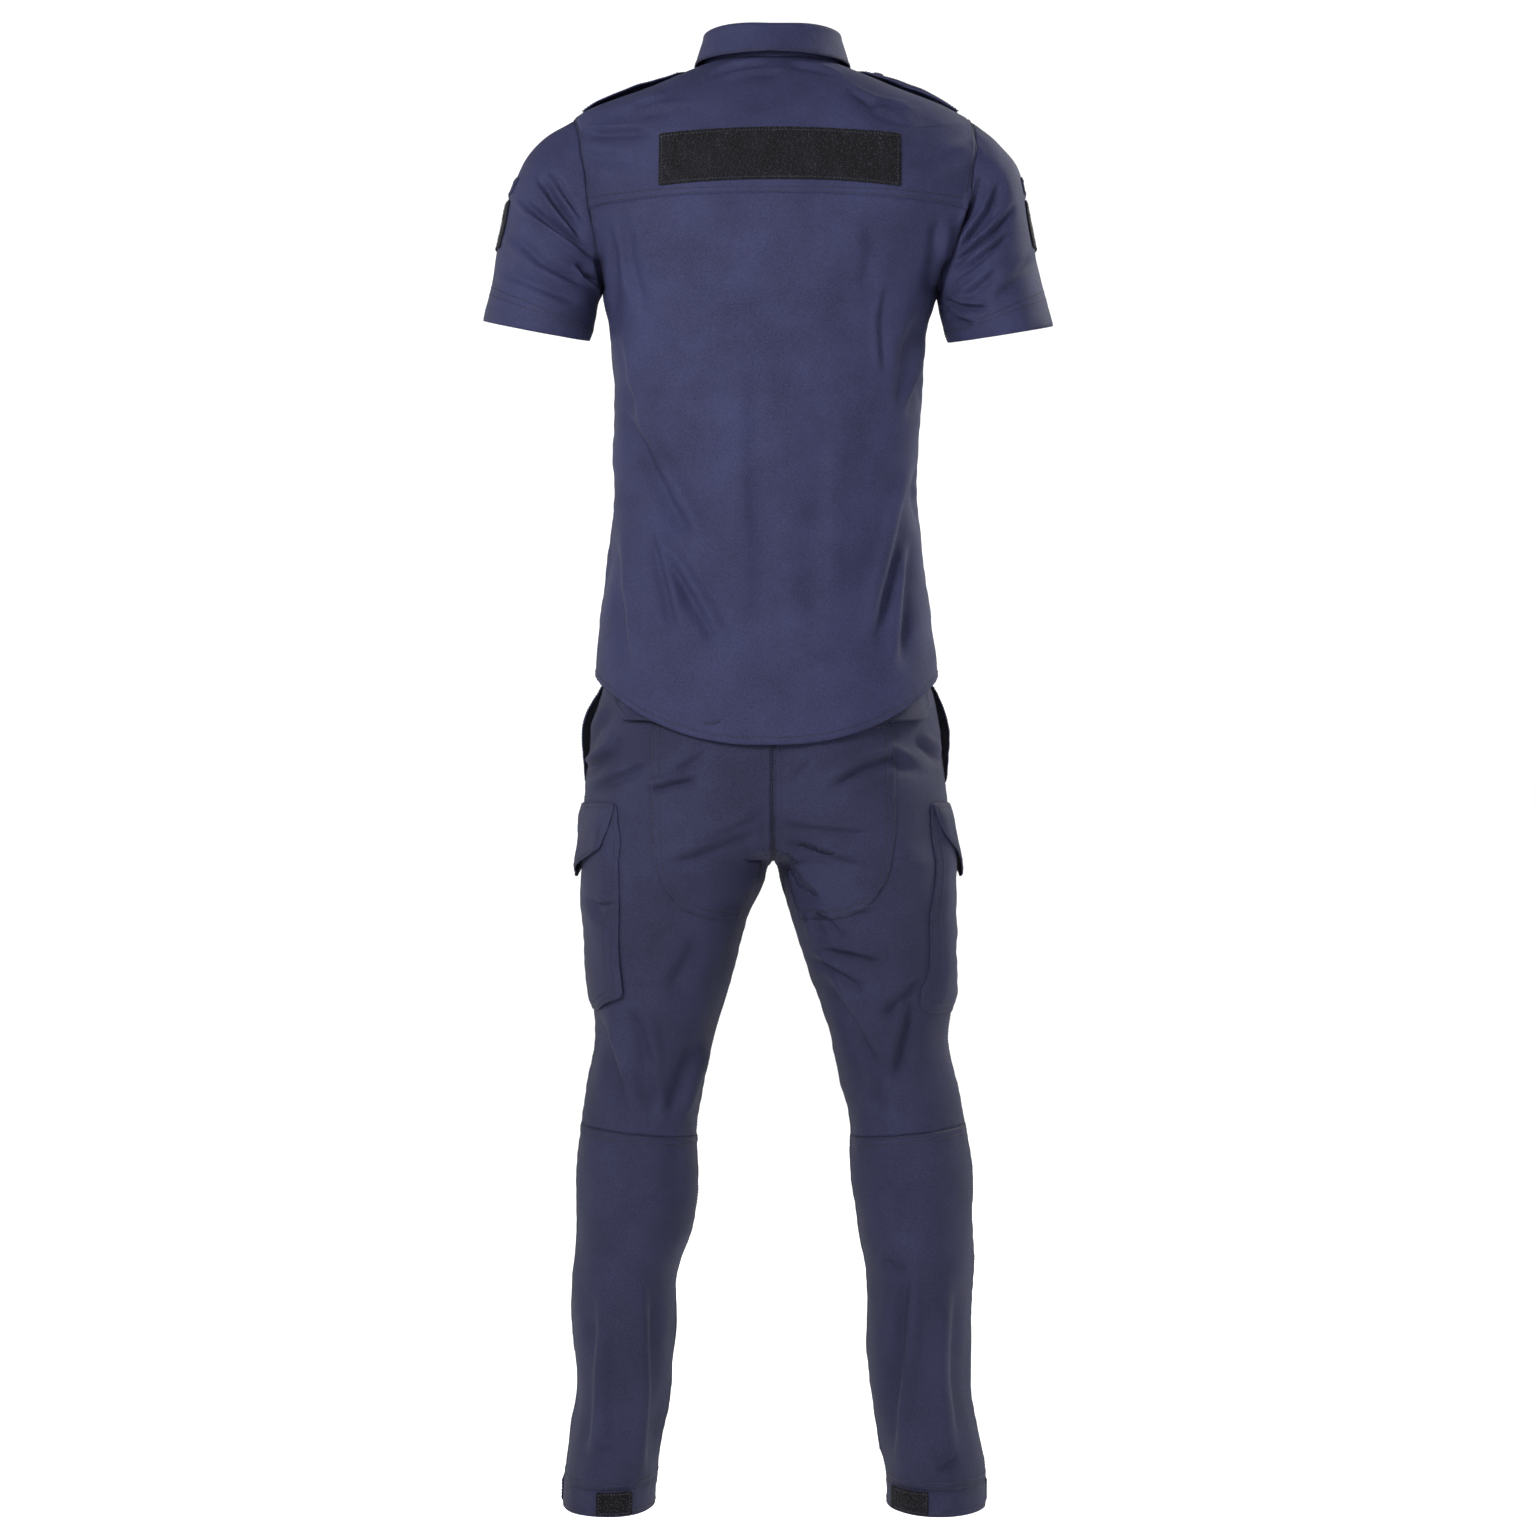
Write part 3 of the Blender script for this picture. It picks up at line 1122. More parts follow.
# Shirt
acrossBack = np.linspace(1, -1, backColumns + 1)
acrossFront = np.linspace(1, -1, backColumns + 2)
back = Sheet([[row(a) for a in acrossBack] for row in shirtRows("back")], -1)
front = Sheet([[row(a) for a in acrossFront] for row in shirtRows("front")], 1)
shirtSheets = {"back": back, "front": front}
for side, column in (("left", 0), ("right", -1)):
    down = list(back.points[neckRows:underarmRow + 1, column])
    up = list(front.points[neckRows + 1:underarmRow, column])[::-1]
    shirtSheets[side] = Sheet(sleeveGrid(side, down + up), -1 if side == "left" else 1, closed=True)
shareNormals(list(shirtSheets.values()))
for sheet in shirtSheets.values():
    points = sheet.flat()
    behind = stepUp(points[:, 1], -0.005, 0.018)
    ahead = stepUp(-points[:, 1], 0.0, 0.035)
    lift = behind * creaseLift(shirtCreases, photoPlace(points), *shirtCrease)
    lift += ahead * creaseLift(frontCreases, frontPlace(points), *frontCrease)
    calm = stepUp(-points[:, 2], 0.02, 0.12)
    lift += (0.0013 * drift(points, 0.16, 11) + 0.0007 * drift(points, 0.050, 12)) * calm
    lifted(sheet, lift)
shareNormals(list(shirtSheets.values()))
armSeams = np.concatenate([shirtSheets[side].points[0] for side in ("left", "right")])
yokeSeam = back.points[yokeRow]
sideSeams = np.concatenate((back.points[underarmRow:, 0], back.points[underarmRow:, -1]))
hemLine = np.concatenate((back.points[-1], front.points[-1]))
for sheet in (back, front):
    points = sheet.flat()
    lift = seamLift(points, armSeams, seamLook)
    lift += seamLift(points, sideSeams, dict(seamLook, rise=0.0002, pucker=0.00035, seed=8))
    lift += seamLift(points, hemLine, dict(seamLook, width=0.007, rise=0.0003, pucker=0.0004, seed=9))
    if sheet is back:
        isYoke = np.repeat(np.arange(len(back.points)) <= yokeRow, back.points.shape[1])
        lift += np.where(isYoke, 1, 0.0) * seamLift(points, yokeSeam, dict(seamLook, pucker=0.0002))
        lift += np.where(isYoke, 0.0, 1) * seamLift(points, yokeSeam, dict(seamLook, rise=0.0, pucker=0.0002))
    lifted(sheet, lift)
for side in ("left", "right"):
    sheet = shirtSheets[side]
    points = sheet.flat()
    hemLook = dict(seamLook, width=0.018, rise=0.0004, pucker=0.0003, seed=14)
    lift = seamLift(points, armSeams, dict(seamLook, rise=0.0))
    lift += seamLift(points, sheet.points[-1], hemLook)
    lifted(sheet, lift)
shareNormals(list(shirtSheets.values()))
yoke, backPanel = back.part(rows=slice(0, yokeRow + 1)), back.part(rows=slice(yokeRow, None))
middle = (backColumns + 1) // 2
frontPanels = {
    "Left": front.part(columns=slice(0, middle + 1)),
    "Right": front.part(columns=slice(middle, None)),
}
sheetPiece("shirtYoke", "shirt_yoke", yoke, shirtCloth)
sheetPiece("shirtBack", "shirt_back", backPanel, shirtCloth)
for name, panel in frontPanels.items():
    sheetPiece("shirtFront" + name, "shirt_front_" + name.lower(), panel, shirtCloth)
for side in ("left", "right"):
    sheetPiece("sleeve" + side.capitalize(), "sleeve_" + side, shirtSheets[side], shirtCloth)
print("stage: shirt body")

# Collar: a stand that rises from the neckline, and a fall that rolls over it
frontGap = 0.0005
base = list(front.points[0, :middle + 1])[::-1] + list(back.points[0, 1:-1])
base += list(front.points[0, middle:])[::-1]
standRows = []
for share in np.linspace(1, 0, 9):
    row = []
    for point in base:
        out = np.array((point[0] / standRound[0] ** 2, point[1] / standRound[1] ** 2, 0.0))
        out /= np.linalg.norm(out)
        row.append(point + np.array((0, 0, standHeight * share)) - out * standLean * share)
    standRows.append(row)
stand = Sheet(standRows, -1)
stand.points[:, 0, 0] += frontGap
stand.points[:, -1, 0] -= frontGap
shareNormals([stand])
sheetPiece("collarStand", "collar_stand", stand, shirtCloth)


# A smooth run of places through a few given ones.
def through(places, count):
    places = np.array(places)
    marks = np.concatenate(([0], np.cumsum(np.linalg.norm(np.diff(places, axis=0), axis=1))))
    wanted = np.linspace(0, marks[-1], count)
    slopes = np.gradient(places, marks, axis=0)
    k = np.clip(np.searchsorted(marks, wanted) - 1, 0, len(places) - 2)
    run = (marks[k + 1] - marks[k])[:, None]
    t = ((wanted - marks[k])[:, None]) / run
    return ((1 + 2 * t) * (1 - t) ** 2 * places[k] + t * (1 - t) ** 2 * run * slopes[k]
            + t * t * (3 - 2 * t) * places[k + 1] + t * t * (t - 1) * run * slopes[k + 1])


fallColumns, fallRows, leafSteps = 150, 24, 4
fallPoints = []
for turn in np.linspace(*fallEnds, fallColumns + 1):
    start, out = necklineAt(turn)
    fold = turn if turn <= 90 else 180 - turn
    aim = collar["aim"](fold)
    lowBase, lowOut = necklineAt(aim if turn <= 90 else 180 - aim)
    edge = lowBase + lowOut * collar["out"](fold)
    edge[2] = collar["low"](fold)
    top = start + np.array((0, 0, standHeight))
    profile = [top + out * (away - standLean + fallEase) + np.array((0, 0, up)) for away, up in fallTop]
    leafStart = profile[-1]
    for k in range(1, leafSteps + 1):
        profile.append(clearOfShirt(leafStart + (edge - leafStart) * k / leafSteps))
    fallPoints.append(through(profile, fallRows))
fall = Sheet(np.array(fallPoints).transpose(1, 0, 2), -1)
shareNormals([fall])
points = fall.flat()
behind = stepUp(points[:, 1], 0.0, 0.03)
lift = 0.0006 * drift(points, 0.05, 21)
lift += behind * creaseLift(collarCreases, photoPlace(points), *collarCrease)
lifted(fall, lift)
shareNormals([fall])
sheetPiece("collarFall", "collar_fall", fall, shirtCloth,
           wall=thickWall)
for inset in collarRows:
    step = inset / fall.size()[1] * (fallRows - 1)
    stitchAlong("shirt", fall.line(row=fallRows - 1 - step))
print("stage: collar")

# Pieces laid on the shirt
loopBow = 0.0050 / 0.1175 ** 2
panelPatch = laidPiece("backLoopPanel", "back_loop_panel", [back], {
    "outline": rounded(loopPanel, 0.0015, 3), "view": "y", "facing": 1, "gap": laidGap, "wall": thickWall,
    "bow": loopBow},
    loopTape, "fastening_tape", ["shirt_yoke"])
panelPath = np.array(insetPath(loopPanel, 0.0025))
panelMiddle = np.mean(loopPanel, axis=0)[0]
panelPath[:, 1] -= loopBow * (panelPath[:, 0] - panelMiddle) ** 2
stitchAlong("shirt", onPatch(panelPatch, panelPath, "y", 1))
tapes = [panelPatch]
placketPatch = laidPiece("shirtPlacket", "shirt_placket", [front], {
    "outline": placket, "view": "y", "facing": -1, "gap": laidGap, "wall": laidWall},
    shirtCloth, "shirt_cloth", ["shirt_front_left"])
for edge in (-1, 1):
    path = np.stack((np.full(150, edge * (placketHalf - 0.005)), np.linspace(-0.080, -0.668, 150)), axis=1)
    stitchAlong("shirt", onPatch(placketPatch, path, "y", -1))
for side, facing in (("left", 1), ("right", -1)):
    arm = [shirtSheets[side]]
    for name, outline, material, slot in (
            ("Tab", sleeveTab, shirtCloth, "shirt_cloth"), ("Loop", sleeveLoop, loopTape, "fastening_tape")):
        patch = laidPiece(f"sleeve{name}{side.capitalize()}", f"sleeve_{name.lower()}_{side}", arm, {
            "outline": rounded(outline, 0.002, 3), "view": "x", "facing": facing, "gap": laidGap,
            "wall": laidWall}, material, slot, ["sleeve_" + side])
        stitchAlong("shirt", onPatch(patch, insetPath(outline, 0.002), "x", facing))
        if material is loopTape:
            tapes.append(patch)


# A shoulder strap: sewn into the armhole seam, bowed up, and buttoned near the collar.
def shoulderStrap(side, settings):
    sign = 1 if side == "left" else -1
    columns, rows = settings["columns"], settings["rows"]
    grid = []
    for along in np.linspace(0, 1, rows + 1):
        x = settings["outerX"] + (settings["innerX"] - settings["outerX"]) * along
        halfWidth = epauletteHalf - epauletteTaper * along
        row = []
        for v in np.linspace(-1, 1, columns + 1):
            tip = epauletteTip * max(0.0, along - epauletteTipStart) / 0.15 * (1 - abs(v))
            x2 = sign * (x - tip)
            y = halfWidth * v + epauletteMiddleY
            rise = epauletteStand + epauletteBow[side] * max(0.0, math.sin(math.pi * along)) ** 0.8
            rise += settings["curl"] * max(0.0, along - 0.88) / 0.12
            turned = settings["droop"] * max(0.0, v - 0.25) ** 2
            turned += settings["frontDroop"] * max(0.0, -v - 0.25) ** 2
            rise += (0.0016 * v * v - turned) * math.sin(math.pi * along)
            row.append((x2, y, shoulderHeight(x2, y) + rise))
        grid.append(row)
    strap = Sheet(grid, 1 if side == "left" else -1)
    shareNormals([strap])
    lifted(strap, 0.0004 * drift(strap.flat(), 0.030, 31 if side == "left" else 32))
    shareNormals([strap])
    outer = Sheet(strap.points + strap.normals * thickWall, strap.outward)
    shareNormals([outer])
    sheetPiece("epaulette" + side.capitalize(), "epaulette_" + side, outer, shirtCloth,
               held="laid", wall=thickWall)
    edgeStep = strapRow / (2 * epauletteHalf) * columns
    for column in (edgeStep, columns - edgeStep):
        stitchAlong("shirt", outer.line(column=column))
    return outer


strapLook = {"outerX": epauletteOuter, "innerX": epauletteInner, "columns": 18, "rows": 40}
straps = {
    "left": shoulderStrap("left", dict(strapLook, curl=0.0012, droop=0.0, frontDroop=0.009)),
    "right": shoulderStrap("right", dict(strapLook, curl=0.0006, droop=0.0120, frontDroop=0.016)),
}


# Button: half-section from the underside's middle to the top's, and a stitch over each pair of holes
buttonLook = {
    "sides": 28,
    "profile": ((0.0, 0.0), (0.0051, 0.0), (0.0057, 0.0008), (0.0057, 0.0017), (0.0053, 0.0023),
                (0.0045, 0.0023), (0.0039, 0.0015), (0.0020, 0.0013), (0.0, 0.0013)),
    "thread": ((-0.0014, 0.0012), (-0.0010, 0.0018), (0.0010, 0.0018), (0.0014, 0.0012)),
    "threadTurns": (45, 135),
    "threadHalf": 0.00035,
    "gap": 0.0004,
}


# A four-hole button turned from its profile, with its thread, at a place on the cloth.
def buttonPiece(name, node, place, normal):
    work = bmesh.new()
    sides = buttonLook["sides"]
    turns = [2 * math.pi * k / sides for k in range(sides)]
    rings = []
    for radius, height in buttonLook["profile"]:
        corners = [(radius * math.cos(turn), radius * math.sin(turn), height) for turn in turns]
        rings.append([work.verts.new(corner) for corner in (corners if radius else corners[:1])])
    for lower, upper in zip(rings[:-1], rings[1:]):
        for k in range(sides):
            ring = [lower[k % len(lower)], lower[(k + 1) % len(lower)], upper[(k + 1) % len(upper)],
                    upper[k % len(upper)]]
            work.faces.new(list(dict.fromkeys(ring)))
    for turn in buttonLook["threadTurns"]:
        across = Vector((math.cos(math.radians(turn)), math.sin(math.radians(turn)), 0))
        side = Vector((-across.y, across.x, 0)) * buttonLook["threadHalf"]
        low = []
        for far, height in buttonLook["thread"]:
            low.append([work.verts.new(across * far + side * s + Vector((0, 0, height))) for s in (-1, 1)])
        for one, two in zip(low[:-1], low[1:]):
            work.faces.new((one[0], two[0], two[1], one[1])).material_index = 1
    for vert in work.verts:
        vert.co.z += buttonLook["gap"]
    turned = Vector((0, 0, 1)).rotation_difference(Vector(normal)).to_matrix()
    bmesh.ops.transform(work, matrix=turned.to_4x4(), verts=work.verts)
    bmesh.ops.translate(work, vec=Vector(place), verts=work.verts)
    bmesh.ops.recalc_face_normals(work, faces=[face for face in work.faces if face.material_index == 0])
    mesh = bpy.data.meshes.new(name)
    work.to_mesh(mesh)
    work.free()
    mesh.polygons.foreach_set("use_smooth", [True] * len(mesh.polygons))
    piece = bpy.data.objects.new(name, mesh)
    mesh.materials.append(resin)
    mesh.materials.append(threadCloth)
    bpy.context.scene.collection.objects.link(piece)
    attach(piece, "root")
    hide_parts(node)


for count, z in enumerate(shirtButtons, 1):
    spots, ways = onPatch(placketPatch, [(0.001, z)], "y", -1)
    buttonPiece(f"shirtButton{count}", f"shirt_button_{count}", spots[0], ways[0])
strapButtonPlace = 6 / 7
row, column = round(strapButtonPlace * strapLook["rows"]), strapLook["columns"] // 2
for side, strap in straps.items():
    buttonPiece("epauletteButton" + side.capitalize(), "epaulette_button_" + side,
                strap.points[row, column], strap.normals[row, column])


# A line beside a row of a sheet, the given distance off it.
def offsetRow(sheet, row, metres, toward):
    gap = np.linalg.norm(sheet.points[row] - sheet.points[row + toward], axis=1).mean()
    return sheet.line(row=row + toward * metres / gap)


def offsetColumn(sheet, column, metres, toward, rows=slice(None)):
    gap = np.linalg.norm(sheet.points[rows, column] - sheet.points[rows, column + toward], axis=1).mean()
    points, normals = sheet.line(column=(column % sheet.points.shape[1]) + toward * metres / gap)
    return points[rows], normals[rows]


for far in seamRows:
    stitchAlong("shirt", offsetRow(back, yokeRow, far, -1))
    for sheet in (back, front):
        for column, toward in ((0, 1), (-1, -1)):
            stitchAlong("shirt", offsetColumn(sheet, column, far, toward, slice(neckRows, underarmRow + 1)))
last = len(back.points) - 1
for sheet in (back, front):
    stitchAlong("shirt", offsetRow(sheet, last, shirtHemRow, -1))
for side in ("left", "right"):
    sheet = shirtSheets[side]
    last = len(sheet.points) - 1
    for far in sleeveHemRows:
        points, normals = offsetRow(sheet, last, far, -1)
        stitchAlong("shirt", (np.vstack((points, points[:1])), np.vstack((normals, normals[:1]))))
print("stage: shirt details")

# Trousers
legSheets = {}
for side in ("left", "right"):
    turn = 1 if side == "left" else -1
    for level, heights in legLevels.items():
        legSheets[side, "back", level] = Sheet(legGrid(side, "back", heights, seatColumns), -turn)
        legSheets[side, "front", level] = Sheet(legGrid(side, "front", heights, thighColumns), turn)
for face in ("back", "front"):
    for level in ("waist", "upper"):
        pair = [legSheets[side, face, level].points for side in ("left", "right")]
        rows = slice(0, crotchRow + 1 if level == "upper" else None)
        pair[0][rows, -1] = pair[1][rows, -1] = (pair[0][rows, -1] + pair[1][rows, -1]) / 2
allLegs = list(legSheets.values())
shareNormals(allLegs)
for sheet in allLegs:
    points = sheet.flat()
    behind = stepUp(points[:, 1], 0.0, 0.030)
    ahead = stepUp(-points[:, 1], 0.0, 0.030)
    lift = behind * creaseLift(trouserCreases, photoPlace(points), *trouserCrease)
    lift += ahead * creaseLift(kneeCreases, frontPlace(points), *kneeCrease)
    calm = stepUp(-points[:, 2], 0.58, 0.66)
    lift += (0.0014 * drift(points, 0.13, 41) + 0.0007 * drift(points, 0.050, 42)) * calm
    lifted(sheet, lift)
shareNormals(allLegs)
kneeSeams, hemSeams, sideSeams, centreSeams = [], [], [], []
for side in ("left", "right"):
    for face in ("back", "front"):
        kneeSeams.append(legSheets[side, face, "lower"].points[0])
        hemSeams.append(legSheets[side, face, "band"].points[0])
        centreSeams.append(legSheets["left", face, "upper"].points[:crotchRow + 1, -1])
    for level in ("upper", "lower"):
        sideSeams.append(legSheets[side, "back", level].points[:, 0])
        sideSeams.append(legSheets[side, "back", level].points[:, -1])
seamSets = (
    (np.concatenate(kneeSeams), dict(seamLook, rise=0.0004, pucker=0.0004, seed=51)),
    (np.concatenate(hemSeams), dict(seamLook, rise=0.0, pucker=0.0004, seed=52)),
    (np.concatenate(sideSeams), dict(seamLook, rise=0.0005, pucker=0.0005, seed=53)),
    (np.concatenate(centreSeams),
     dict(seamLook, width=0.008, rise=0.0010, groove=0.0, pucker=0.0004, seed=54)),
)
for (side, face, level), sheet in legSheets.items():
    points = sheet.flat()
    total = np.zeros(len(points))
    for seam, look in seamSets:
        if look["seed"] == 51 and level == "upper":
            look = dict(look, rise=0.0)
        total += seamLift(points, seam, look)
    lifted(sheet, total)
shareNormals(allLegs)


def joinRing(backSheet, frontSheet, outward):
    points = np.concatenate((backSheet.points, frontSheet.points[:, -2:0:-1]), axis=1)
    ring = Sheet(points, outward, closed=True)
    ring.normals = np.concatenate((backSheet.normals, frontSheet.normals[:, -2:0:-1]), axis=1)
    return ring


for side in ("left", "right"):
    turn = 1 if side == "left" else -1
    for face in ("back", "front"):
        for level in ("upper", "lower"):
            name = f"leg{face.capitalize()}{level.capitalize()}{side.capitalize()}"
            sheetPiece(name, f"leg_{face}_{level}_{side}", legSheets[side, face, level], trouserCloth)
    ring = joinRing(legSheets[side, "back", "band"], legSheets[side, "front", "band"], -turn)
    sheetPiece("hemBand" + side.capitalize(), "hem_band_" + side, ring, trouserCloth,
               wall=thickWall)
    points, normals = offsetRow(ring, len(ring.points) - 1, bandRow, -1)
    stitchAlong("trousers", (np.vstack((points, points[:1])), np.vstack((normals, normals[:1]))))
order = [(("left", "front"), -1), (("left", "back"), 1), (("right", "back"), -1), (("right", "front"), 1)]
bandPoints, bandNormals = [], []
for (side, face), way in order:
    sheet = legSheets[side, face, "waist"]
    bandPoints.append(sheet.points[:, ::way][:, (1 if bandPoints else 0):])
    bandNormals.append(sheet.normals[:, ::way][:, (1 if bandNormals else 0):])
waist = Sheet(np.concatenate(bandPoints, axis=1), -1)
waist.normals = np.concatenate(bandNormals, axis=1)
sheetPiece("waistband", "waistband", waist, trouserCloth,
           wall=thickWall)
for far in waistRows:
    stitchAlong("trousers", offsetRow(waist, 0, far, 1))
print("stage: trouser legs")

flyPatch = laidPiece("fly", "fly", [legSheets["left", "front", "upper"]], {
    "outline": fly, "view": "y", "facing": -1, "gap": laidGap, "wall": laidWall},
    trouserCloth, "trouser_cloth", ["leg_front_upper_left"])
stitchAlong("trousers", onPatch(flyPatch, insetPath(fly, 0.0030, False), "y", -1))
spots, ways = onPatch(waist, [(0.012, waistButtonZ)], "y", -1)
buttonPiece("waistButton", "waist_button", spots[0], ways[0])


backFlapGap = 0.0016
cargoFlapGap = 0.0003
backFlapStand = 0.0042
cargoFlapStand = 0.0040


# Gain over the pocket's face, zero at its sewn edges.
def pocketLift(outline):
    (backY, top), (frontY, low) = outline[0], outline[2]

    def lift(points):
        y, z = points[:, 1], points[:, 2]
        inside = np.maximum(0, np.min((top - z, z - low, backY - y, y - frontY), axis=0))
        puff = cargoPuff * stepUp(inside, 0.0, cargoEdge)
        return puff + 0.0007 * drift(points, 0.045, 61) * stepUp(inside, 0.0, 0.02)
    return lift


# A flap stands off a little towards its free lower edge.
def flapLift(outline, stand, seed):
    top = max(corner[1] for corner in outline)
    low = min(corner[1] for corner in outline)

    def lift(points):
        down = stepUp((top - points[:, 2]) / (top - low), 0.25, 1.0)
        wavy = stand * down * (1 + 0.35 * drift(points, 0.050, seed))
        return wavy + 0.0003 * drift(points, 0.020, seed + 1)
    return lift


def mouthLift(points):
    down = (points[:, 2] - hipMouth[0][1]) / (hipMouth[3][1] - hipMouth[0][1])
    forward = np.clip(-points[:, 1] / mouthWidth, 0, 1)
    return mouthGape * np.maximum(0, np.sin(np.pi * down)) * (1 - forward) ** 0.5


for side, facing in (("left", 1), ("right", -1)):
    label = side.capitalize()
    place = (lambda outline: shifted(outline, centreX)) if side == "left" else (
        lambda outline: shifted(mirrored(outline), centreX))
    backSheet, frontSheet = legSheets[side, "back", "upper"], legSheets[side, "front", "upper"]
    cloth = (trouserCloth, "trouser_cloth")
    outline = place(seatPatch)
    patch = laidPiece("seatPatch" + label, "seat_patch_" + side, [backSheet], {
        "outline": rounded(outline, 0.02), "view": "y", "facing": 1, "gap": laidGap, "wall": clothWall,
        "turn": seatPatchTurn}, *cloth, ["leg_back_upper_" + side])
    for inset in edgeRows:
        stitchAlong("trousers", onPatch(patch, insetPath(outline, inset, False), "y", 1))
    outline = place(backFlap)
    patch = laidPiece("backFlap" + label, "back_flap_" + side, [backSheet], {
        "outline": rounded(outline, 0.004), "view": "y", "facing": 1, "gap": backFlapGap, "wall": thickWall},
        *cloth, ["seat_patch_" + side], lift=flapLift(outline, backFlapStand, 71))
    stitchAlong("trousers", onPatch(patch, insetPath(outline, 0.0030, False), "y", 1))
    patch = laidPiece("hipMouth" + label, "hip_mouth_" + side, [frontSheet], {
        "outline": hipMouth, "view": "x", "facing": facing, "gap": laidGap, "wall": thickWall},
        *cloth, ["leg_front_upper_" + side], lift=mouthLift)
    stitchAlong("trousers", onPatch(patch, insetPath(hipMouth, 0.0030), "x", facing))
    both = [backSheet, frontSheet]
    outline = cargoPocket[side]
    pocket = laidPiece("cargoPocket" + label, "cargo_pocket_" + side, both, {
        "outline": rounded(outline, 0.006), "view": "x", "facing": facing, "gap": laidGap,
        "wall": laidWall},
        *cloth, ["leg_back_upper_" + side], lift=pocketLift(outline))
    for inset in edgeRows:
        stitchAlong("trousers", onPatch(pocket, insetPath(outline, inset), "x", facing))
    outline = cargoFlap[side]
    flap = laidPiece("cargoFlap" + label, "cargo_flap_" + side, [pocket], {
        "outline": rounded(outline, 0.004), "view": "x", "facing": facing, "gap": cargoFlapGap,
        "wall": thickWall},
        *cloth, ["cargo_pocket_" + side], lift=flapLift(outline, cargoFlapStand, 73))
    stitchAlong("trousers", onPatch(flap, insetPath(outline, 0.0035), "x", facing))
    lowBack, lowFront = legSheets[side, "back", "band"], legSheets[side, "front", "band"]
    patch = laidPiece("ankleTab" + label, "ankle_tab_" + side, [lowBack, lowFront], {
        "outline": ankleTab, "view": "x", "facing": facing, "gap": laidGap, "wall": thickWall},
        *cloth, ["hem_band_" + side])
    stitchAlong("trousers", onPatch(patch, insetPath(ankleTab, 0.0025), "x", facing))
    near, far = ankleHookLeft if side == "left" else ankleHookRight
    hook = ((near, hookTop), (far, hookTop), (far, hookLow), (near, hookLow))
    patch = laidPiece("ankleHook" + label, "ankle_hook_" + side, [lowBack], {
        "outline": rounded(hook, 0.0012, 3), "view": "y", "facing": 1, "gap": laidGap, "wall": thickWall},
        loopTape, "fastening_tape", ["hem_band_" + side])
    stitchAlong("trousers", onPatch(patch, insetPath(hook, 0.0020), "y", 1))
    tapes.append(patch)
    for far in seamRows:
        for face in ("back", "front"):
            stitchAlong("trousers", offsetRow(legSheets[side, face, "lower"], 0, far, 1))
            low = legSheets[side, face, "lower"]
            stitchAlong("trousers", offsetRow(low, len(low.points) - 1, far, -1))
        for level in ("upper", "lower"):
            sheet = legSheets[side, "back", level]
            rows = slice(0, len(sheet.points))
            stitchAlong("trousers", offsetColumn(sheet, 0, far, 1, rows))
            low = crotchRow if level == "upper" else 0
            stitchAlong("trousers", offsetColumn(sheet, -1, far, -1, slice(low, len(sheet.points))))
for far in seamRows:
    for side in ("left", "right"):
        sheet = legSheets[side, "back", "upper"]
        stitchAlong("trousers", offsetColumn(sheet, -1, far, -1, slice(0, crotchRow + 1)))
print("stage: trouser details")


# Geometry Nodes: a stitch laid every pitch along each path, turned to the cloth beneath.
def stitchTool():
    tool = bpy.data.node_groups.new("stitchTool", "GeometryNodeTree")
    face = tool.interface
    face.new_socket("Paths", in_out="INPUT", socket_type="NodeSocketGeometry")
    for name, kind in (("Pitch", "Float"), ("Length", "Float"), ("Width", "Float"), ("Finish", "Material")):
        face.new_socket(name, in_out="INPUT", socket_type="NodeSocket" + kind)
    face.new_socket("Stitches", in_out="OUTPUT", socket_type="NodeSocketGeometry")
    given = addNode(tool, "NodeGroupInput")
    curve = addNode(tool, "GeometryNodeMeshToCurve", None, {"Mesh": given.outputs["Paths"]})
    even = addNode(tool, "GeometryNodeResampleCurve", {"mode": "LENGTH"}, {"Curve": curve})
    tool.links.new(given.outputs["Pitch"], even.inputs["Length"])
    along = addNode(tool, "GeometryNodeInputTangent")
    lie = addNode(tool, "GeometryNodeInputNamedAttribute", {"data_type": "FLOAT_VECTOR"}, {"Name": "lie"})
    first = addNode(tool, "FunctionNodeAlignRotationToVector", {"axis": "X"}, {"Vector": along})
    second = addNode(tool, "FunctionNodeAlignRotationToVector", {"axis": "Z", "pivot_axis": "X"}, {
        "Rotation": first, "Vector": lie.outputs["Attribute"]})
    bead = addNode(tool, "GeometryNodeMeshIcoSphere", None, {"Radius": 0.5, "Subdivisions": 1})
    size = addNode(tool, "ShaderNodeCombineXYZ", None, {
        "X": given.outputs["Length"], "Y": given.outputs["Width"], "Z": given.outputs["Width"]})
    vary = addNode(tool, "FunctionNodeRandomValue", {"data_type": "FLOAT"}, {"Seed": 5})
    vary.inputs[2].default_value = 0.85
    vary.inputs[3].default_value = 1.1
    scaled = addNode(tool, "ShaderNodeVectorMath", {"operation": "SCALE"}, {
        "Vector": size, "Scale": vary.outputs[1]})
    placed = addNode(tool, "GeometryNodeInstanceOnPoints", None, {
        "Points": even, "Instance": bead, "Rotation": second, "Scale": scaled})
    real = addNode(tool, "GeometryNodeRealizeInstances", None, {"Geometry": placed})
    finished = addNode(tool, "GeometryNodeSetMaterial", None, {
        "Geometry": real, "Material": given.outputs["Finish"]})
    result = addNode(tool, "NodeGroupOutput")
    tool.links.new(finished.outputs[0], result.inputs[0])
    return tool


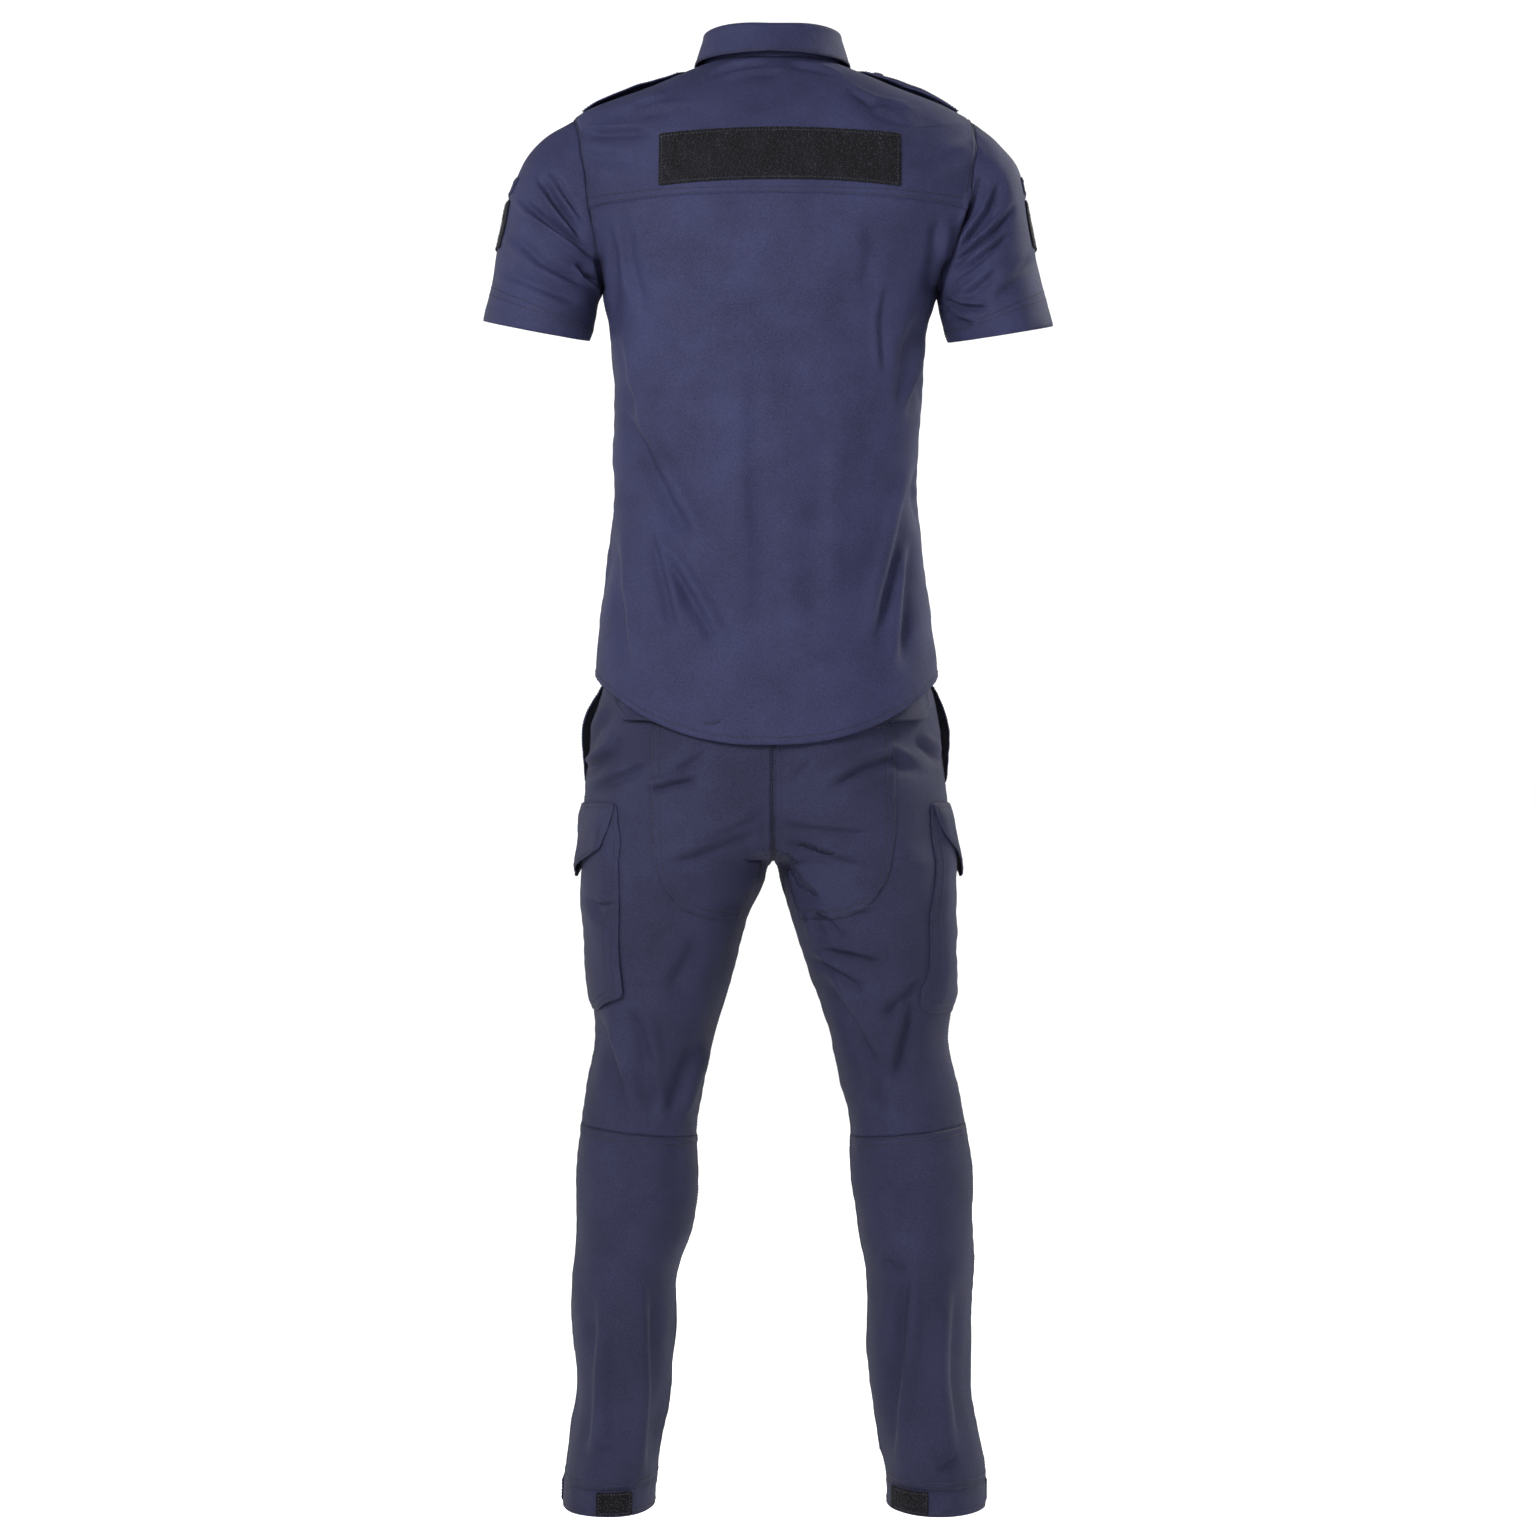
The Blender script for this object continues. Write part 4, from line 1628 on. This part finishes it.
# Run a node tool on a mesh of paths and keep its result as a plain mesh.
def applied(name, mesh, tool, values):
    maker = bpy.data.objects.new(name + "Maker", mesh)
    bpy.context.scene.collection.objects.link(maker)
    modifier = maker.modifiers.new("tool", "NODES")
    modifier.node_group = tool
    for socket in tool.interface.items_tree:
        if socket.in_out == "INPUT" and socket.name in values:
            modifier[socket.identifier] = values[socket.name]
    graph = bpy.context.evaluated_depsgraph_get()
    made = bpy.data.meshes.new_from_object(maker.evaluated_get(graph))
    made.name = name
    bpy.data.objects.remove(maker, do_unlink=True)
    piece = bpy.data.objects.new(name, made)
    bpy.context.scene.collection.objects.link(piece)
    return piece


# Geometry Nodes: short loops of fibre scattered over the face of hook-and-loop tape.
def pileTool():
    tool = bpy.data.node_groups.new("pileTool", "GeometryNodeTree")
    face = tool.interface
    face.new_socket("Tape", in_out="INPUT", socket_type="NodeSocketGeometry")
    for name, kind in (("Density", "Float"), ("Loop", "Float"), ("Fibre", "Float"), ("Finish", "Material")):
        face.new_socket(name, in_out="INPUT", socket_type="NodeSocket" + kind)
    face.new_socket("Pile", in_out="OUTPUT", socket_type="NodeSocketGeometry")
    given = addNode(tool, "NodeGroupInput")
    spots = addNode(tool, "GeometryNodeDistributePointsOnFaces", None, {
        "Mesh": given.outputs["Tape"], "Density": given.outputs["Density"], "Seed": 17})
    ring = addNode(tool, "GeometryNodeCurveArc", None, {
        "Resolution": 5, "Radius": given.outputs["Loop"], "Start Angle": math.radians(-20),
        "Sweep Angle": math.radians(220)})
    section = addNode(tool, "GeometryNodeCurvePrimitiveCircle", None, {
        "Resolution": 3, "Radius": given.outputs["Fibre"]})
    fibre = addNode(tool, "GeometryNodeCurveToMesh", None, {
        "Curve": ring.outputs["Curve"], "Profile Curve": section.outputs["Curve"]})
    upright = addNode(tool, "GeometryNodeTransform", None, {
        "Geometry": fibre, "Rotation": (math.pi / 2, 0, 0)})
    placed = addNode(tool, "GeometryNodeInstanceOnPoints", None, {
        "Points": spots.outputs["Points"], "Instance": upright, "Rotation": spots.outputs["Rotation"]})
    lean = addNode(tool, "FunctionNodeRandomValue", {"data_type": "FLOAT_VECTOR"}, {"Seed": 23})
    lean.inputs[0].default_value = (-0.7, -0.7, 0.0)
    lean.inputs[1].default_value = (0.7, 0.7, 2 * math.pi)
    turned = addNode(tool, "GeometryNodeRotateInstances", None, {
        "Instances": placed, "Rotation": lean.outputs[0], "Local Space": True})
    vary = addNode(tool, "FunctionNodeRandomValue", {"data_type": "FLOAT"}, {"Seed": 29})
    vary.inputs[2].default_value = 0.55
    vary.inputs[3].default_value = 1.25
    sized = addNode(tool, "GeometryNodeScaleInstances", None, {"Instances": turned, "Scale": vary.outputs[1]})
    real = addNode(tool, "GeometryNodeRealizeInstances", None, {"Geometry": sized})
    finished = addNode(tool, "GeometryNodeSetMaterial", None, {
        "Geometry": real, "Material": given.outputs["Finish"]})
    result = addNode(tool, "NodeGroupOutput")
    tool.links.new(finished.outputs[0], result.inputs[0])
    return tool


tapePoints, tapeShapes = [], []
for tape in tapes:
    start = sum(len(points) for points in tapePoints)
    tapePoints.append(tape.points)
    tapeShapes += [[v + start for v in shape] for shape in tape.shapes]
pileLook = {"Density": 220000.0, "Loop": 0.0009, "Fibre": 0.0001, "Finish": fibreCloth}
pile = applied("tapePile", newMesh("tapeFaces", np.concatenate(tapePoints), tapeShapes), pileTool(), pileLook)
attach(pile, "root")
print("pile", len(pile.data.polygons))

tool = stitchTool()
threadHeight = 0.00012
stitchLook = {"Pitch": 0.0032, "Length": 0.0027, "Width": 0.0011, "Finish": threadCloth}
for garment, paths in stitchPaths.items():
    points, normals, edges = [], [], []
    for line, ways in paths:
        start = len(points)
        points += [p + n * threadHeight for p, n in zip(line, ways)]
        normals += list(ways)
        edges += [(start + k, start + k + 1) for k in range(len(line) - 1)]
    mesh = bpy.data.meshes.new(garment + "Paths")
    mesh.from_pydata([tuple(p) for p in points], edges, [])
    layer = mesh.attributes.new("lie", "FLOAT_VECTOR", "POINT")
    layer.data.foreach_set("vector", np.array(normals, np.float32).ravel())
    piece = applied(garment + "Stitches", mesh, tool, stitchLook)
    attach(piece, "root")
    print("stitches", garment, len(piece.data.polygons))
print("stage: stitches")

# Studio: a pale bowl, soft lights and the camera at the photograph's place
floorZ = -1.505
bowlFloor = 5.4
bowlBend = 1.6
bowlReach = bowlFloor + bowlBend
bowlRings = [(0.0, 0.0), (3.0, 0.0), (bowlFloor, 0.0)]
bowlRings += [(bowlFloor + bowlBend * math.sin(a), bowlBend - bowlBend * math.cos(a))
              for a in np.linspace(0.15, math.pi / 2, 12)]
bowlRings += [(bowlReach, 3.5), (bowlReach, 6.5)]
bowlSides = 96
bowlPoints, bowlFaces = [], []
for radius, height in bowlRings:
    for k in range(bowlSides):
        a = 2 * math.pi * k / bowlSides
        bowlPoints.append((radius * math.cos(a), radius * math.sin(a), floorZ + height))
for ring in range(len(bowlRings) - 1):
    for k in range(bowlSides):
        a, b = ring * bowlSides + k, ring * bowlSides + (k + 1) % bowlSides
        bowlFaces.append((a, b, b + bowlSides, a + bowlSides))
bowl = bpy.data.objects.new("studioFloor", newMesh("studioFloor", np.array(bowlPoints), bowlFaces))
paper = bpy.data.materials.new("Matt studio paper")
paper.use_nodes = True
paperShader = paper.node_tree.nodes["Principled BSDF"]
grainNoise = addNode(paper.node_tree, "ShaderNodeTexNoise", None, {"Scale": 40.0, "Detail": 3.0})
paperTone = addNode(paper.node_tree, "ShaderNodeValToRGB", None, {"Fac": grainNoise})
paperTone.color_ramp.elements[0].color = linear("#fcfcfc")
paperTone.color_ramp.elements[1].color = linear("#ffffff")
paper.node_tree.links.new(paperTone.outputs[0], paperShader.inputs["Base Color"])
paperShader.inputs["Roughness"].default_value = 0.95
paperShader.inputs["Emission Color"].default_value = (1, 1, 1, 1)
paperShader.inputs["Emission Strength"].default_value = 0.235
bowl.data.materials.append(paper)
bpy.context.scene.collection.objects.link(bowl)


def softLight(name, place, target, size, power):
    light = bpy.data.lights.new(name, "AREA")
    light.size = size
    light.energy = power
    lamp = bpy.data.objects.new(name, light)
    lamp.location = place
    lamp.rotation_euler = (Vector(target) - Vector(place)).to_track_quat("-Z", "Y").to_euler()
    bpy.context.scene.collection.objects.link(lamp)


centrePlace = (0, 0, -0.65)
softLight("keyLight", (0.95, 1.7, 0.22), (0, 0, -0.4), 0.6, 46)
softLight("fillLight", (-2.6, 2.8, 0.0), centrePlace, 2.2, 11)
softLight("topLight", (0.2, 1.1, 2.6), centrePlace, 1.2, 9)
softLight("frontKey", (-3.0, -2.2, 1.9), centrePlace, 1.1, 180)
softLight("frontFill", (2.6, -2.8, 0.4), centrePlace, 2.2, 14)
world = bpy.data.worlds.new("studio")
world.use_nodes = True
daylight = world.node_tree.nodes["Background"]
daylight.inputs["Color"].default_value = (1.0, 1.0, 1.0, 1.0)
daylight.inputs["Strength"].default_value = 0.10
bpy.context.scene.world = world
bpy.context.scene.view_settings.view_transform = "Standard"

camera = bpy.data.cameras.new("camera")
camera.sensor_width = 36
camera.lens = camera.sensor_width * cameraPlace[1] / (photoSide / pixelsPerMetre)
viewer = bpy.data.objects.new("camera", camera)
viewer.location = cameraPlace
viewer.rotation_euler = (math.pi / 2, 0, math.pi)
bpy.context.scene.collection.objects.link(viewer)
bpy.context.scene.camera = viewer

for row in sheetFacts:
    print("cut", *row)
